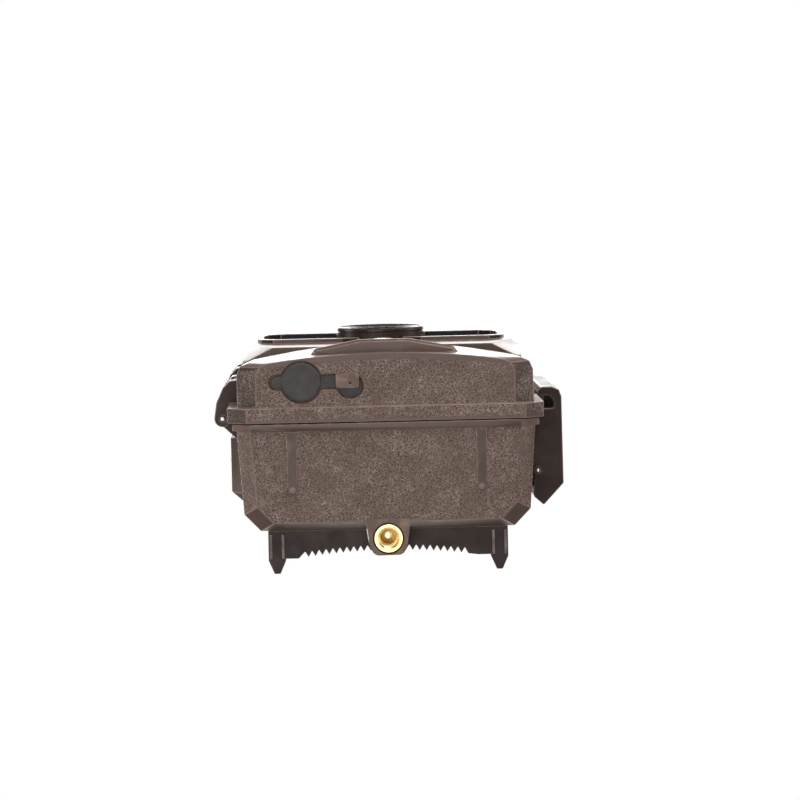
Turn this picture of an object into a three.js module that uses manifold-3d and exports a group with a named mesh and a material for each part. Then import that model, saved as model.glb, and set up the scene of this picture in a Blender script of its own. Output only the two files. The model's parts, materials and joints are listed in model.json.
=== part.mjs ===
// Trail camera: two hinged half shells, a side latch, a tree bracket and everything inside.
// Units are millimetres, +Z up, and the lens faces -Y. Pieces are laid out from the seam plane
// (y = 0) and the middle of the case (x = 0). The exported group then moves the whole camera so
// that its origin is under the middle of its box.

import * as THREE from "three";
import { mergeVertices } from "three/addons/utils/BufferGeometryUtils.js";
import Module from "manifold-3d";

const wasm = await Module();
wasm.setup();

// ---------------------------------------------------------------- driving dimensions

const HEIGHT = 148;
const SKIN_RECESS = 0.6; // the textured end panels sit this far inside the flanges and ribs
const END_CHAMFER = 5; // height of the sloped edge along the bottom and top of each half
const WALL = 2.6;
const GAP = 0.3; // between pieces that touch
const SEAM_GAP = 0.15; // each half stops this far short of the seam plane

const REAR_HALF_WIDTH = 50.6; // at the flange
const REAR_BACK_HALF_WIDTH = 48.5; // where the back corners start
const REAR_CORNER_Y = 31;
const REAR_WALL_Y = 36.7;
const REAR_WALL_HALF_WIDTH = 43;
const REAR_FLANGE = { halfWidth: 51.8, depth: 2.5 };

const FRONT_HALF_WIDTH = 50;
const FRONT_EDGE_Y = -23.3; // middle of the curved front edge, at the bottom
const FRONT_SAGITTA = 3; // how far the front edge falls back at the sides
const FRONT_CORNER = 4;
const FRONT_FLANGE = { halfWidth: 53.4, depth: 5.3 };

const BROW = { bottom: 62, top: 141, y: -22.9, hollowY: -20.3, leanFrom: 112, lean: 1.8 };
const LENS = { z: 92, outer: 16.3, inner: 12.3, y: -27.5 };
const POD = { bottom: 6, top: 58, halfWidth: 25, frontHalfWidth: 8.5, y: -27.5, topY: -24.6 };
const PIR = { z: 35, halfWidth: 11, halfHeight: 8.5, corner: 4, curve: 26, thickness: 1.6 };
const STATUS_LED = { z: 68, radius: 1.8 };
const MICROPHONE = { x: -12, z: 68, radius: 3, hole: 0.8 };

const HINGE = { x: -55.9, radius: 2.9, pin: 1.0, bore: 1.15 };
const HINGE_SETS = [26, 92]; // lower end of each hinge set
const KNUCKLE = { end: 9, middle: 12 };
const HINGE_LENGTH = 2 * KNUCKLE.end + KNUCKLE.middle;

const LATCH = {
  bottom: 40,
  top: 100,
  pinX: 53.8,
  pinY: 21.8,
  outerX: 62.6,
  frontY: -7.5,
  cheek: 3,
  plate: 3,
};
const CATCH = { outerX: 56.4, frontY: -3.9 };

const BOSS = { halfWidth: 7.5, tipHalfWidth: 3.9, tipY: 45.2, height: 26, slope: 8 };
const INSERT = { y: 39.5, flange: 5, flangeTop: 1.4, body: 4.3, bore: 2.6, mouth: 3.5, length: 12 };
const BOTTOM_RIB = { x: 31.9, halfWidth: 1.65, endY: 24.5 };

const BRACKET = {
  bottom: 8,
  top: 140,
  shelf: 7,
  rail: 37.8,
  railHalfWidth: 2.95,
  tipY: 51.8,
  plateY: 46.7,
  bossToothY: 44.6,
  toothPitch: 2.36,
  toothHeight: 2,
  archHalfWidth: 30.5,
};

const CELL = { radius: 7.05, length: 48.5, nub: 2.6, nubRadius: 2.7, pitch: 15.2 };
const CELL_COLUMNS = 4;
const CELL_ROWS = [20.5, 81]; // lower end of each row of cells
const TRAY = { halfWidth: 34, bottom: 12, top: 136, backY: 32.6, frontY: 13 };
const CELL_Y = 22.4;

const BOARD_Y = -12.3;
const BOARD_THICKNESS = 1.6;
const PANEL = { halfWidth: 45, bottom: 7, top: 141, frontY: -5.2, backY: -3.2 };

const SCREW = { head: 2.7, headHeight: 1.6, thread: 1.15, bore: 1.6, post: 3.2 };
const TRAY_SCREWS = [[-37.6, 24], [37.6, 24], [-37.6, 124], [37.6, 124]];
const PANEL_SCREWS = [[-41, 16], [41, 16], [-41, 134], [41, 134]];

// ---------------------------------------------------------------- finishes

const finishes = {
  casePlastic: [0x6e5f58, 0.62, 0],
  smoothPlastic: [0x413631, 0.5, 0],
  blackPlastic: [0x1c1b1b, 0.45, 0],
  rubber: [0x484341, 0.8, 0],
  brass: [0xdebe80, 0.28, 1],
  steel: [0xb9bcc0, 0.3, 1],
  spring: [0xa9abae, 0.35, 1],
  smokedAcrylic: [0x120d10, 0.08, 0],
  clearGlass: [0x8fa3b8, 0.03, 0],
  fresnel: [0xd9d8d2, 0.4, 0],
  circuitBoard: [0x1f5a35, 0.5, 0],
  screen: [0x1a2430, 0.15, 0],
  cellWrap: [0x2f3338, 0.35, 0.3],
  greyButton: [0x8b8f93, 0.55, 0],
  cardPlastic: [0x22324a, 0.5, 0],
};

// ---------------------------------------------------------------- solids

// A closed geometry as a solid. A profile or outline may run either way round.
function solid(geometry) {
  geometry.deleteAttribute("normal");
  geometry.deleteAttribute("uv");
  const merged = mergeVertices(geometry, 1e-4);
  const positions = new Float32Array(merged.attributes.position.array);
  const make = (triangles) =>
    new wasm.Manifold(new wasm.Mesh({ numProp: 3, vertProperties: positions, triVerts: triangles }));
  const made = make(new Uint32Array(merged.index.array));
  return made.volume() > 0 ? made : make(new Uint32Array(merged.index.array).reverse());
}

function box(x, y, z) {
  const size = [x, y, z].map(([low, high]) => high - low);
  const middle = [x, y, z].map(([low, high]) => (low + high) / 2);
  return solid(new THREE.BoxGeometry(...size).translate(...middle));
}

function shapeOf(points) {
  return new THREE.Shape(points.map(([a, b]) => new THREE.Vector2(a, b)));
}

// An outline in the XY plane, raised from z0 to z1.
function prismZ(points, z0, z1) {
  const raised = new THREE.ExtrudeGeometry(shapeOf(points), { depth: z1 - z0, bevelEnabled: false });
  return solid(raised.translate(0, 0, z0));
}

// An outline in the XZ plane, drawn out from y0 to y1.
function prismY(points, y0, y1) {
  const drawn = new THREE.ExtrudeGeometry(shapeOf(points), { depth: y1 - y0, bevelEnabled: false });
  return solid(drawn.rotateX(Math.PI / 2).translate(0, y1, 0));
}

function rod(axis, radius, at, from, to, sides = 24) {
  const cylinder = new THREE.CylinderGeometry(radius, radius, to - from, sides);
  const middle = (from + to) / 2;
  if (axis === "z") {
    return solid(cylinder.rotateX(Math.PI / 2).translate(at[0], at[1], middle));
  }
  if (axis === "x") {
    return solid(cylinder.rotateZ(Math.PI / 2).translate(middle, at[0], at[1]));
  }
  return solid(cylinder.translate(at[0], middle, at[1]));
}

// A turned piece: profile points are (radius, distance along the axis). The axis ends up on -Y
// for the optical pieces, which face forward, or on +Z.
function turned(profile, sides) {
  return new THREE.LatheGeometry(
    profile.map(([radius, along]) => new THREE.Vector2(radius, along)),
    sides,
  );
}

function turnedForward(profile, x, y, z, sides = 32) {
  return solid(turned(profile, sides).rotateZ(Math.PI).translate(x, y, z));
}

function turnedUp(profile, x, y, z, sides = 32) {
  return solid(turned(profile, sides).rotateX(Math.PI / 2).translate(x, y, z));
}

// A closed skin through plan outlines that all have the same number of points, listed
// counter-clockwise as seen from above.
function loft(stations) {
  const count = stations[0].points.length;
  const positions = [];
  for (const { z, points } of stations) {
    for (const [x, y] of points) {
      positions.push(x, y, z);
    }
  }
  const index = [];
  for (let level = 0; level < stations.length - 1; level += 1) {
    for (let i = 0; i < count; i += 1) {
      const a = level * count + i;
      const b = level * count + ((i + 1) % count);
      index.push(a, b, b + count, a, b + count, a + count);
    }
  }
  const lastRing = (stations.length - 1) * count;
  for (const [ring, flip] of [[0, true], [lastRing, false]]) {
    const outline = stations[ring / count].points.map(([x, y]) => new THREE.Vector2(x, y));
    for (const [a, b, c] of THREE.ShapeUtils.triangulateShape(outline, [])) {
      index.push(ring + a, ring + (flip ? c : b), ring + (flip ? b : c));
    }
  }
  const geometry = new THREE.BufferGeometry();
  geometry.setAttribute("position", new THREE.Float32BufferAttribute(positions, 3));
  geometry.setIndex(index);
  return solid(geometry);
}

function joined(...solids) {
  return solids.reduce((whole, next) => whole.add(next));
}

function cutBy(body, ...tools) {
  return tools.reduce((whole, tool) => whole.subtract(tool), body);
}

function mirrorX(points) {
  return [...points, ...points.map(([x, y]) => [-x, y]).reverse()];
}

// Points along an arc, ends included.
function arc(cx, cy, radius, fromDegrees, toDegrees, steps) {
  return Array.from({ length: steps + 1 }, (_, i) => {
    const angle = THREE.MathUtils.degToRad(fromDegrees + ((toDegrees - fromDegrees) * i) / steps);
    return [cx + radius * Math.cos(angle), cy + radius * Math.sin(angle)];
  });
}

function roundedRectangle(x, y, radius, steps = 3) {
  const [[x0, x1], [y0, y1]] = [x, y];
  return [
    ...arc(x1 - radius, y1 - radius, radius, 0, 90, steps),
    ...arc(x0 + radius, y1 - radius, radius, 90, 180, steps),
    ...arc(x0 + radius, y0 + radius, radius, 180, 270, steps),
    ...arc(x1 - radius, y0 + radius, radius, 270, 360, steps),
  ];
}

function chamferedRectangle([x0, x1], [y0, y1], cutX, cutY = cutX) {
  return [
    [x0 + cutX, y0],
    [x1 - cutX, y0],
    [x1, y0 + cutY],
    [x1, y1 - cutY],
    [x1 - cutX, y1],
    [x0 + cutX, y1],
    [x0, y1 - cutY],
    [x0, y0 + cutY],
  ];
}

// A pan head screw whose head stands on seatY and faces forward, or backward when facing is -1.
function screw([x, z], seatY, length, facing) {
  const { head, headHeight, thread } = SCREW;
  const profile = [
    [0, -length],
    [thread, -length],
    [thread, 0],
    [head, 0],
    [head, headHeight - 0.6],
    [head - 0.7, headHeight],
    [0, headHeight],
  ].map(([radius, along]) => [radius, facing * along]);
  return turnedForward(profile, x, seatY, z, 12);
}

function screwBores(places, y0, y1) {
  return joined(...places.map((at) => rod("y", SCREW.bore, at, y0, y1, 12)));
}

// ---------------------------------------------------------------- rear half

const END_LEVELS = [SKIN_RECESS, SKIN_RECESS + END_CHAMFER];
const FLANGE_CUT = { x: 6.5, z: 5 };

// Plan outline of the rear half, pulled in by sideIn at the sides and backIn at the back.
function rearPlan(sideIn, backIn, startY = SEAM_GAP) {
  return mirrorX([
    [REAR_HALF_WIDTH - sideIn, startY],
    [REAR_BACK_HALF_WIDTH - sideIn, REAR_CORNER_Y - backIn],
    [REAR_WALL_HALF_WIDTH - sideIn, REAR_WALL_Y - backIn],
  ]);
}

// A half shell's outer skin: full size through the middle, pulled in towards both ends.
function skin(fullPlan, endPlan) {
  const [end, full] = END_LEVELS;
  return loft([
    { z: end, points: endPlan },
    { z: full, points: fullPlan },
    { z: HEIGHT - full, points: fullPlan },
    { z: HEIGHT - end, points: endPlan },
  ]);
}

function flangePlate(halfWidth, y0, y1) {
  const outline = chamferedRectangle([-halfWidth, halfWidth], [0, HEIGHT], FLANGE_CUT.x, FLANGE_CUT.z);
  return prismY(outline, y0, y1);
}

function bottomRibs() {
  const ribs = [-BOTTOM_RIB.x, BOTTOM_RIB.x].map((x) => {
    const { halfWidth, endY } = BOTTOM_RIB;
    const bar = box([x - halfWidth, x + halfWidth], [REAR_FLANGE.depth - 1, endY - 2], [0, 1.2]);
    return bar.add(rod("z", halfWidth + 0.35, [x, endY - 2], 0, 1.2, 16));
  });
  return joined(...ribs);
}

// The boss tapers to the back, where its corners are rounded.
const BOSS_SIDE = [[BOSS.halfWidth, 33.5], [6.5, 41], [6.1, 42.8], [5.1, 44.5]];

function tripodBoss() {
  const plan = (backIn) =>
    mirrorX([
      [BOSS.halfWidth, REAR_WALL_Y - 4],
      ...BOSS_SIDE.map(([x, y], i) => [x, i === 0 ? y : y - backIn]),
      [BOSS.tipHalfWidth, BOSS.tipY - backIn],
    ]);
  return loft([
    { z: 0, points: plan(0) },
    { z: BOSS.height - BOSS.slope, points: plan(0) },
    { z: BOSS.height, points: plan(BOSS.slope - 1) },
  ]);
}

// Room for the boss in the tree bracket, which slides on from the back.
function bossRoom() {
  const side = BOSS_SIDE.map(([x, y]) => [x + GAP, y]);
  const [tipX] = side[side.length - 1];
  return prismZ(mirrorX([[BOSS.halfWidth + GAP, 30], ...side, [tipX, 60]]), -1, BOSS.height + 2);
}

function tripodInsertRoom() {
  const seat = [0, INSERT.y];
  return joined(
    rod("z", INSERT.body + GAP, seat, -1, INSERT.length + GAP, 32),
    rod("z", INSERT.flange + GAP, seat, -1, INSERT.flangeTop + GAP, 32),
  );
}

// The middle knuckle of each hinge set grows out of the rear half.
function rearHingeLeaf(low) {
  const from = low + KNUCKLE.end + GAP;
  const to = low + KNUCKLE.end + KNUCKLE.middle - GAP;
  const arm = [
    [HINGE.x - HINGE.radius * 0.9, 1.2],
    [HINGE.x - HINGE.radius * 0.5, 2.5],
    [-REAR_HALF_WIDTH - 0.4, 8.5],
    [-REAR_HALF_WIDTH + 1.5, 8.5],
    [-REAR_HALF_WIDTH + 1.5, SEAM_GAP],
    [HINGE.x, SEAM_GAP],
  ];
  return joined(prismZ(arm, from, to), rod("z", HINGE.radius, [HINGE.x, 0], from, to, 24));
}

function hingeBores() {
  return HINGE_SETS.map((low) => rod("z", HINGE.bore, [HINGE.x, 0], low - 1, low + HINGE_LENGTH + 1, 16));
}

function latchLugs() {
  const { pinX, pinY, bottom, top, cheek } = LATCH;
  const levels = [
    [bottom + cheek + GAP, bottom + cheek + 12],
    [top - cheek - 12, top - cheek - GAP],
  ];
  const lugs = levels.map(([from, to]) =>
    joined(
      box([REAR_BACK_HALF_WIDTH - 1.5, pinX], [pinY - 3, pinY + 3], [from, to]),
      rod("z", 3, [pinX, pinY], from, to, 24),
    ),
  );
  return joined(...lugs);
}

// The latch's tail swings into this pocket when the latch opens.
const TAIL_POCKET = { x: 44.6, frontY: 24.5, bottom: 38, top: 102, wall: 3 };

function tailPocketWall() {
  const { x, frontY, bottom, top, wall } = TAIL_POCKET;
  return box([x - wall, REAR_BACK_HALF_WIDTH - 0.8], [frontY - wall, 33], [bottom - wall, top + wall]);
}

function tailPocket() {
  const { x, frontY, bottom, top } = TAIL_POCKET;
  return box([x, x + 20], [frontY, REAR_WALL_Y + 5], [bottom, top]);
}

const SIDE_PAD = { x: -54.2, bottom: 40, top: 112, slope: 6 };

// A raised pad on the hinge side, sloped at both ends.
function sidePad() {
  const { x: outerX, bottom, top, slope } = SIDE_PAD;
  const plan = [
    [-46, 30],
    [-47, 33],
    [outerX, 27.5],
    [outerX, 8.6],
    [-48, 7.3],
  ];
  const flat = plan.map(([x, y]) => [Math.max(x, -REAR_HALF_WIDTH + 0.1), y]);
  return loft([
    { z: bottom, points: flat },
    { z: bottom + slope, points: plan },
    { z: top - slope, points: plan },
    { z: top, points: flat },
  ]);
}

const TRAY_EAR_Y = [TRAY.frontY, TRAY.frontY + 2];

function trayPosts() {
  const posts = TRAY_SCREWS.map((at) => rod("y", SCREW.post, at, TRAY_EAR_Y[1] + GAP, REAR_WALL_Y - 1, 12));
  return joined(...posts);
}

const GASKET = { halfWidth: 49.7, end: 2.5, width: 1.4, depth: 1.3 };

// A ring round the rim of the case, between y0 and y1.
function rimRing(width, y0, y1) {
  const outline = (offset) =>
    chamferedRectangle(
      [-GASKET.halfWidth - offset, GASKET.halfWidth + offset],
      [GASKET.end - offset, HEIGHT - GASKET.end + offset],
      FLANGE_CUT.x,
      FLANGE_CUT.z,
    );
  return prismY(outline(width / 2), y0, y1).subtract(prismY(outline(-width / 2), y0 - 1, y1 + 1));
}

function rearShell() {
  const outer = joined(
    skin(rearPlan(0, 0), rearPlan(4.6, 3)),
    flangePlate(REAR_FLANGE.halfWidth, SEAM_GAP, REAR_FLANGE.depth),
    bottomRibs(),
    tripodBoss(),
    sidePad(),
    latchLugs(),
    ...HINGE_SETS.map(rearHingeLeaf),
  );
  const hollow = prismZ(rearPlan(WALL + 0.4, WALL, -5), 5.4, HEIGHT - 5.4);
  const walled = joined(outer.subtract(hollow), tailPocketWall(), trayPosts());
  const groove = rimRing(GASKET.width + 2 * GAP, -1, SEAM_GAP + GASKET.depth + GAP);
  return cutBy(
    walled,
    tailPocket(),
    groove,
    tripodInsertRoom(),
    screwBores(TRAY_SCREWS, TRAY_EAR_Y[1] - 1, TRAY_EAR_Y[1] + 12),
    rod("z", HINGE.bore, [LATCH.pinX, LATCH.pinY], 1, HEIGHT, 16),
    ...hingeBores(),
  );
}

function gasket() {
  return rimRing(GASKET.width, SEAM_GAP, SEAM_GAP + GASKET.depth);
}

function tripodInsert() {
  const { flange, flangeTop, body, bore, mouth, length } = INSERT;
  const face = 0.15;
  const profile = [
    [mouth, face],
    [flange, face],
    [flange, flangeTop],
    [body, flangeTop],
    [body, length],
    [bore, length],
    [bore, 1.1],
    [mouth, face],
  ];
  return turnedUp(profile, 0, INSERT.y, 0, 32);
}

function hingePin(low) {
  return rod("z", HINGE.pin, [HINGE.x, 0], low - GAP, low + HINGE_LENGTH + GAP, 16);
}

function latchPin() {
  return rod("z", HINGE.pin, [LATCH.pinX, LATCH.pinY], LATCH.bottom - GAP, LATCH.top + GAP, 16);
}

// ---------------------------------------------------------------- tree bracket

// Back edge of a shelf: straight outside the arch, then a hollow arch of teeth from one side to
// the other.
function toothedEdge() {
  const { archHalfWidth, toothPitch, toothHeight, plateY, bossToothY } = BRACKET;
  const teeth = Math.floor(archHalfWidth / toothPitch);
  const edge = [];
  for (let i = -teeth; i < teeth; i += 1) {
    const valleyX = i * toothPitch;
    const tipX = valleyX + toothPitch / 2;
    const archY = (x) => bossToothY + (plateY - bossToothY) * (x / archHalfWidth) ** 2;
    edge.push([valleyX, archY(valleyX) - toothHeight], [tipX, archY(tipX)]);
  }
  return edge;
}

function bracketShelf(low, high) {
  const { rail, railHalfWidth, tipY, plateY, archHalfWidth } = BRACKET;
  const baseY = REAR_WALL_Y + GAP;
  const inner = rail - railHalfWidth;
  const outer = rail + railHalfWidth;
  const leg = [
    [archHalfWidth, plateY],
    [inner, plateY],
    [inner, tipY - 4.5],
    [rail - 1, tipY],
    [rail + 1, tipY],
    [outer, tipY - 4.5],
    [outer, baseY],
  ];
  const left = leg.map(([x, y]) => [-x, y]).reverse();
  return prismZ([...left, ...toothedEdge(), ...leg], low, high);
}

const STRAP_SLOT = { y: [39.3, 43.9], z: [59, 89] };

function treeBracket() {
  const { bottom, top, shelf, rail, railHalfWidth } = BRACKET;
  const baseY = REAR_WALL_Y + GAP;
  const rails = [-rail, rail].map((x) =>
    box([x - railHalfWidth, x + railHalfWidth], [baseY, 46.2], [bottom, top]),
  );
  const slots = box([-rail - 10, rail + 10], STRAP_SLOT.y, STRAP_SLOT.z);
  const frame = joined(
    bracketShelf(bottom, bottom + shelf),
    bracketShelf(top - shelf, top),
    ...rails,
  );
  return cutBy(frame, slots, bossRoom());
}

// ---------------------------------------------------------------- batteries

const CELL_X = Array.from({ length: CELL_COLUMNS }, (_, i) => (i - (CELL_COLUMNS - 1) / 2) * CELL.pitch);
const CHANNEL = { below: 6, length: 58.5, clearance: 0.42 };
const PLATE = 0.8;

function channelOf(row) {
  return [row - CHANNEL.below, row - CHANNEL.below + CHANNEL.length];
}

function batteryTray() {
  const body = box([-TRAY.halfWidth, TRAY.halfWidth], [TRAY.frontY, TRAY.backY], [TRAY.bottom, TRAY.top]);
  const ears = TRAY_SCREWS.map(([x, z]) =>
    box([Math.min(x - 4, 0), Math.max(x + 4, 0)], TRAY_EAR_Y, [z - 5, z + 5]),
  );
  const channels = CELL_ROWS.flatMap((row) => {
    const [from, to] = channelOf(row);
    return CELL_X.map((x) =>
      joined(
        rod("z", CELL.radius + CHANNEL.clearance, [x, CELL_Y], from, to, 16),
        box(
          [x - CELL.radius - GAP, x + CELL.radius + GAP],
          [TRAY.frontY - 1, CELL_Y],
          [from, to],
        ),
      ),
    );
  });
  const screwHoles = screwBores(TRAY_SCREWS, TRAY_EAR_Y[0] - 1, TRAY_EAR_Y[1] + 1);
  return cutBy(joined(body, ...ears), ...channels, stripRooms(), screwHoles);
}

// Cells alternate: even columns stand button up, odd columns button down.
function cell(x, row, buttonUp) {
  const [channelLow] = channelOf(row);
  const low = buttonUp ? row : channelLow + GAP + PLATE + GAP;
  const full = CELL.length + CELL.nub;
  const profile = [
    [0, 0],
    [CELL.radius - 0.4, 0],
    [CELL.radius, 0.5],
    [CELL.radius, CELL.length],
    [CELL.nubRadius, CELL.length],
    [CELL.nubRadius, full],
    [0, full],
  ];
  const facing = buttonUp ? profile : profile.map(([radius, along]) => [radius, full - along]);
  return turnedUp(facing, x, CELL_Y, low, 16);
}

// Where a row's contact strip lies across the ends of its cells.
function stripLevels(row, atTop) {
  const [low, high] = channelOf(row);
  return atTop ? [high - GAP - PLATE, high - GAP] : [low + GAP, low + GAP + PLATE];
}

const STRIP = { halfWidth: 28.6, halfDepth: 4.6, spring: 4.3, springFoot: 4.2, springTip: 2.2 };

function contactStrip(row, atTop) {
  const { halfWidth, halfDepth, spring, springFoot, springTip } = STRIP;
  const levels = stripLevels(row, atTop);
  const sign = atTop ? -1 : 1;
  const face = atTop ? levels[0] : levels[1];
  const profile = [
    [0, -0.2],
    [springFoot, -0.2],
    [springTip, spring],
    [0, spring],
  ].map(([radius, along]) => [radius, sign * along]);
  const springs = CELL_X.filter((_, column) => (column % 2 === 0) !== atTop).map((x) =>
    turnedUp(profile, x, CELL_Y, face, 12),
  );
  const bar = box([-halfWidth, halfWidth], [CELL_Y - halfDepth, CELL_Y + halfDepth], levels);
  return joined(bar, ...springs);
}

function stripRooms() {
  const { halfWidth, halfDepth } = STRIP;
  const rooms = CELL_ROWS.flatMap((row) =>
    [false, true].map((atTop) => {
      const [from, to] = stripLevels(row, atTop);
      return box(
        [-halfWidth - GAP, halfWidth + GAP],
        [CELL_Y - halfDepth - GAP, CELL_Y + halfDepth + GAP],
        [from - GAP, to + GAP],
      );
    }),
  );
  return joined(...rooms);
}

// ---------------------------------------------------------------- front half

// Plan outline of the front half. The front edge is a shallow curve that falls back by sagitta
// at the corners.
function frontPlan({ halfWidth, edgeY, sagitta, corner, startY = -SEAM_GAP }) {
  const steps = 6;
  const straight = halfWidth - corner;
  const side = Array.from({ length: steps }, (_, i) => {
    const share = (i + 1) / steps;
    return [straight * share, edgeY + sagitta * share ** 2];
  });
  const sideY = edgeY + sagitta;
  const cut = corner * 0.3;
  side.push([halfWidth - cut, sideY + cut], [halfWidth, sideY + corner], [halfWidth, startY]);
  return [[0, edgeY], ...mirrorX(side)];
}

const LOWER_TOP = { z: 60, edgeY: -23.1, sagitta: 5 };

function lowerFront() {
  const [end, full] = END_LEVELS;
  const plan = (halfWidth, edgeY, sagitta) => frontPlan({ halfWidth, edgeY, sagitta, corner: FRONT_CORNER });
  return loft([
    { z: end, points: plan(FRONT_HALF_WIDTH - 6.5, FRONT_EDGE_Y, FRONT_SAGITTA) },
    { z: full, points: plan(FRONT_HALF_WIDTH, FRONT_EDGE_Y - 0.1, FRONT_SAGITTA) },
    { z: LOWER_TOP.z, points: plan(FRONT_HALF_WIDTH, LOWER_TOP.edgeY, LOWER_TOP.sagitta) },
    { z: LOWER_TOP.z + 2.2, points: plan(FRONT_HALF_WIDTH - 0.5, LOWER_TOP.edgeY + 2.4, LOWER_TOP.sagitta) },
  ]);
}

// Each corner of the brow is cut off; the cut is widest at the lower end.
function brow() {
  const plan = (sideIn, frontIn, cutX = 3, cutY = 2.4) =>
    mirrorX([
      [FRONT_HALF_WIDTH - cutX - sideIn, BROW.y + frontIn],
      [FRONT_HALF_WIDTH - sideIn, BROW.y + frontIn + cutY],
      [FRONT_HALF_WIDTH - sideIn, -SEAM_GAP],
    ]);
  const end = END_LEVELS[0];
  return loft([
    { z: LOWER_TOP.z + 1.6, points: plan(0, 0.8, 11, 5.5) },
    { z: BROW.bottom + 14, points: plan(0, 0) },
    { z: BROW.leanFrom, points: plan(0, 0) },
    { z: BROW.top, points: plan(0, BROW.lean) },
    { z: HEIGHT - end, points: plan(6.5, BROW.lean + 4) },
  ]);
}

function browHollow() {
  const side = FRONT_HALF_WIDTH - WALL - 0.8;
  const plan = mirrorX([
    [side - 6.1, BROW.hollowY],
    [side, BROW.hollowY + 3.3],
    [side, 5],
  ]);
  return prismZ(plan, BROW.bottom + 3, HEIGHT - 6.4);
}

function pod() {
  const plan = (sideIn, frontY) =>
    mirrorX([
      [POD.frontHalfWidth - sideIn, frontY],
      [POD.halfWidth - 6.5 - sideIn, frontY + 1.9],
      [POD.halfWidth - 1.7 - sideIn, frontY + 2.8],
      [POD.halfWidth - sideIn, Math.min(frontY + 5, -20.5)],
      [POD.halfWidth - sideIn, -20],
    ]);
  return loft([
    { z: POD.bottom, points: plan(0.8, POD.y + 0.8) },
    { z: POD.bottom + 1.5, points: plan(0, POD.y) },
    { z: POD.top - 2, points: plan(2, POD.topY) },
    { z: POD.top, points: plan(3.5, POD.topY + 1.4) },
  ]);
}

// Outline of one infrared window, on the +X side, grown by offset.
function windowOutline(offset) {
  const reach = 43 + offset;
  const low = 75 - offset;
  const high = 109 + offset;
  return [
    [8, low + 2.5],
    [14, low],
    [reach - 6, low],
    [reach - 1.5, low + 3],
    [reach, low + 8],
    [reach, high - 8],
    [reach - 1.5, high - 3],
    [reach - 6, high],
    [14, high],
    [8, high - 2.5],
  ];
}

function bothWindows(offset, y0, y1) {
  const right = windowOutline(offset);
  const left = right.map(([x, z]) => [-x, z]).reverse();
  return joined(prismY(right, y0, y1), prismY(left, y0, y1));
}

const RIM_Y = BROW.y - 1.4;
const LENS_SEAT = [0, LENS.z];
const WINDOW_PLATE = { recess: 1.3, thickness: 1.8 };

function windowRims() {
  return bothWindows(2, RIM_Y, BROW.y + 1).subtract(bothWindows(0, RIM_Y - 1, BROW.y));
}

function lensSurround(radius, y0, y1) {
  return rod("y", radius, LENS_SEAT, y0, y1, 40);
}

function frontHinge(low) {
  const { end, middle } = KNUCKLE;
  const spans = [
    [low, low + end],
    [low + end + middle, low + 2 * end + middle],
  ];
  const wall = -FRONT_HALF_WIDTH + 0.8;
  const arm = [
    [HINGE.x - HINGE.radius * 0.98, -0.6],
    [HINGE.x - 2.1, -5.5],
    [HINGE.x + 0.2, -10.6],
    [HINGE.x + 2.6, -13],
    [wall, -13.5],
    [wall, -SEAM_GAP],
  ];
  const knuckles = spans.map(([from, to]) =>
    joined(prismZ(arm, from, to), rod("z", HINGE.radius, [HINGE.x, 0], from, to, 24)),
  );
  return joined(...knuckles);
}

// The rear knuckle and its arm pass through the front flange here.
function hingeNotch(low) {
  const from = low + KNUCKLE.end;
  return box([-60, -FRONT_HALF_WIDTH - 1.6], [-8, 5], [from, from + KNUCKLE.middle]);
}

// The flange is cut back where the latch grips, and a thicker catch stands there instead.
function catchRoom() {
  return box([FRONT_HALF_WIDTH + 0.2, 60], [-6, 1], [LATCH.bottom - 1.5, LATCH.top + 1.5]);
}

function latchCatch() {
  return box(
    [FRONT_HALF_WIDTH - 1, CATCH.outerX],
    [CATCH.frontY, -SEAM_GAP],
    [LATCH.bottom + 4, LATCH.top - 4],
  );
}

const COVER = { x: -28.2, y: -13.9, radius: 6.6, face: 0.25, back: 1.9, plug: 3.6, hingeX: -19.4 };
const LIVING_HINGE = { coverGap: 0.3, anchorGap: 0.6 };
const STRAP = { y: [-16, -11.8], z: [1.1, 1.9] };
const LOBE = { x: [-15.7, -7.7], y: [-16, -8.5], corner: 3.6 };
const RETAINER = { x: [-16.6, -8.8], y: [-16.9, -11.6], z: [0.1, 0.8], dot: [-11.8, -13.3] };
const PULL_TAB = { x: [-38.3, -33], y: [-16.1, -11.7], corner: 2.1 };
const POCKET = { top: 2.3, margin: 0.5, discGap: 0.6 };

function coverPocket() {
  const grow = ([low, high], by) => [low - by, high + by];
  const { margin } = POCKET;
  const tabCorner = PULL_TAB.corner + margin;
  const tab = roundedRectangle(grow(PULL_TAB.x, 2 * margin), grow(PULL_TAB.y, margin), tabCorner);
  const lobe = roundedRectangle(grow(LOBE.x, margin), grow(LOBE.y, margin), LOBE.corner + margin, 6);
  return joined(
    rod("z", COVER.radius + POCKET.discGap, [COVER.x, COVER.y], -1, POCKET.top, 40),
    prismZ(tab, -1, POCKET.top),
    box([COVER.x, LOBE.x[0] + 2.5], grow(STRAP.y, margin), [-1, POCKET.top]),
    prismZ(lobe, -1, POCKET.top),
    rod("z", COVER.plug + margin, [COVER.x, COVER.y], 1, 6, 24),
  );
}

function coverRetainer() {
  const { x, y, z, dot } = RETAINER;
  const plate = prismZ(roundedRectangle(x, y, 1), ...z);
  const foot = box([x[0] + 1, x[1] - 1], [y[0] + 0.2, y[0] + 0.6], [z[0], POCKET.top + 1]);
  return joined(plate, foot).subtract(rod("z", 0.45, dot, -1, 2, 10));
}

function panelPosts() {
  const rootY = (z) => (z < BROW.bottom ? FRONT_EDGE_Y + FRONT_SAGITTA + 0.5 : BROW.y + WALL - 1);
  const posts = PANEL_SCREWS.map(([x, z]) => rod("y", SCREW.post, [x, z], rootY(z), PANEL.frontY - GAP, 12));
  return joined(...posts);
}

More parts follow.
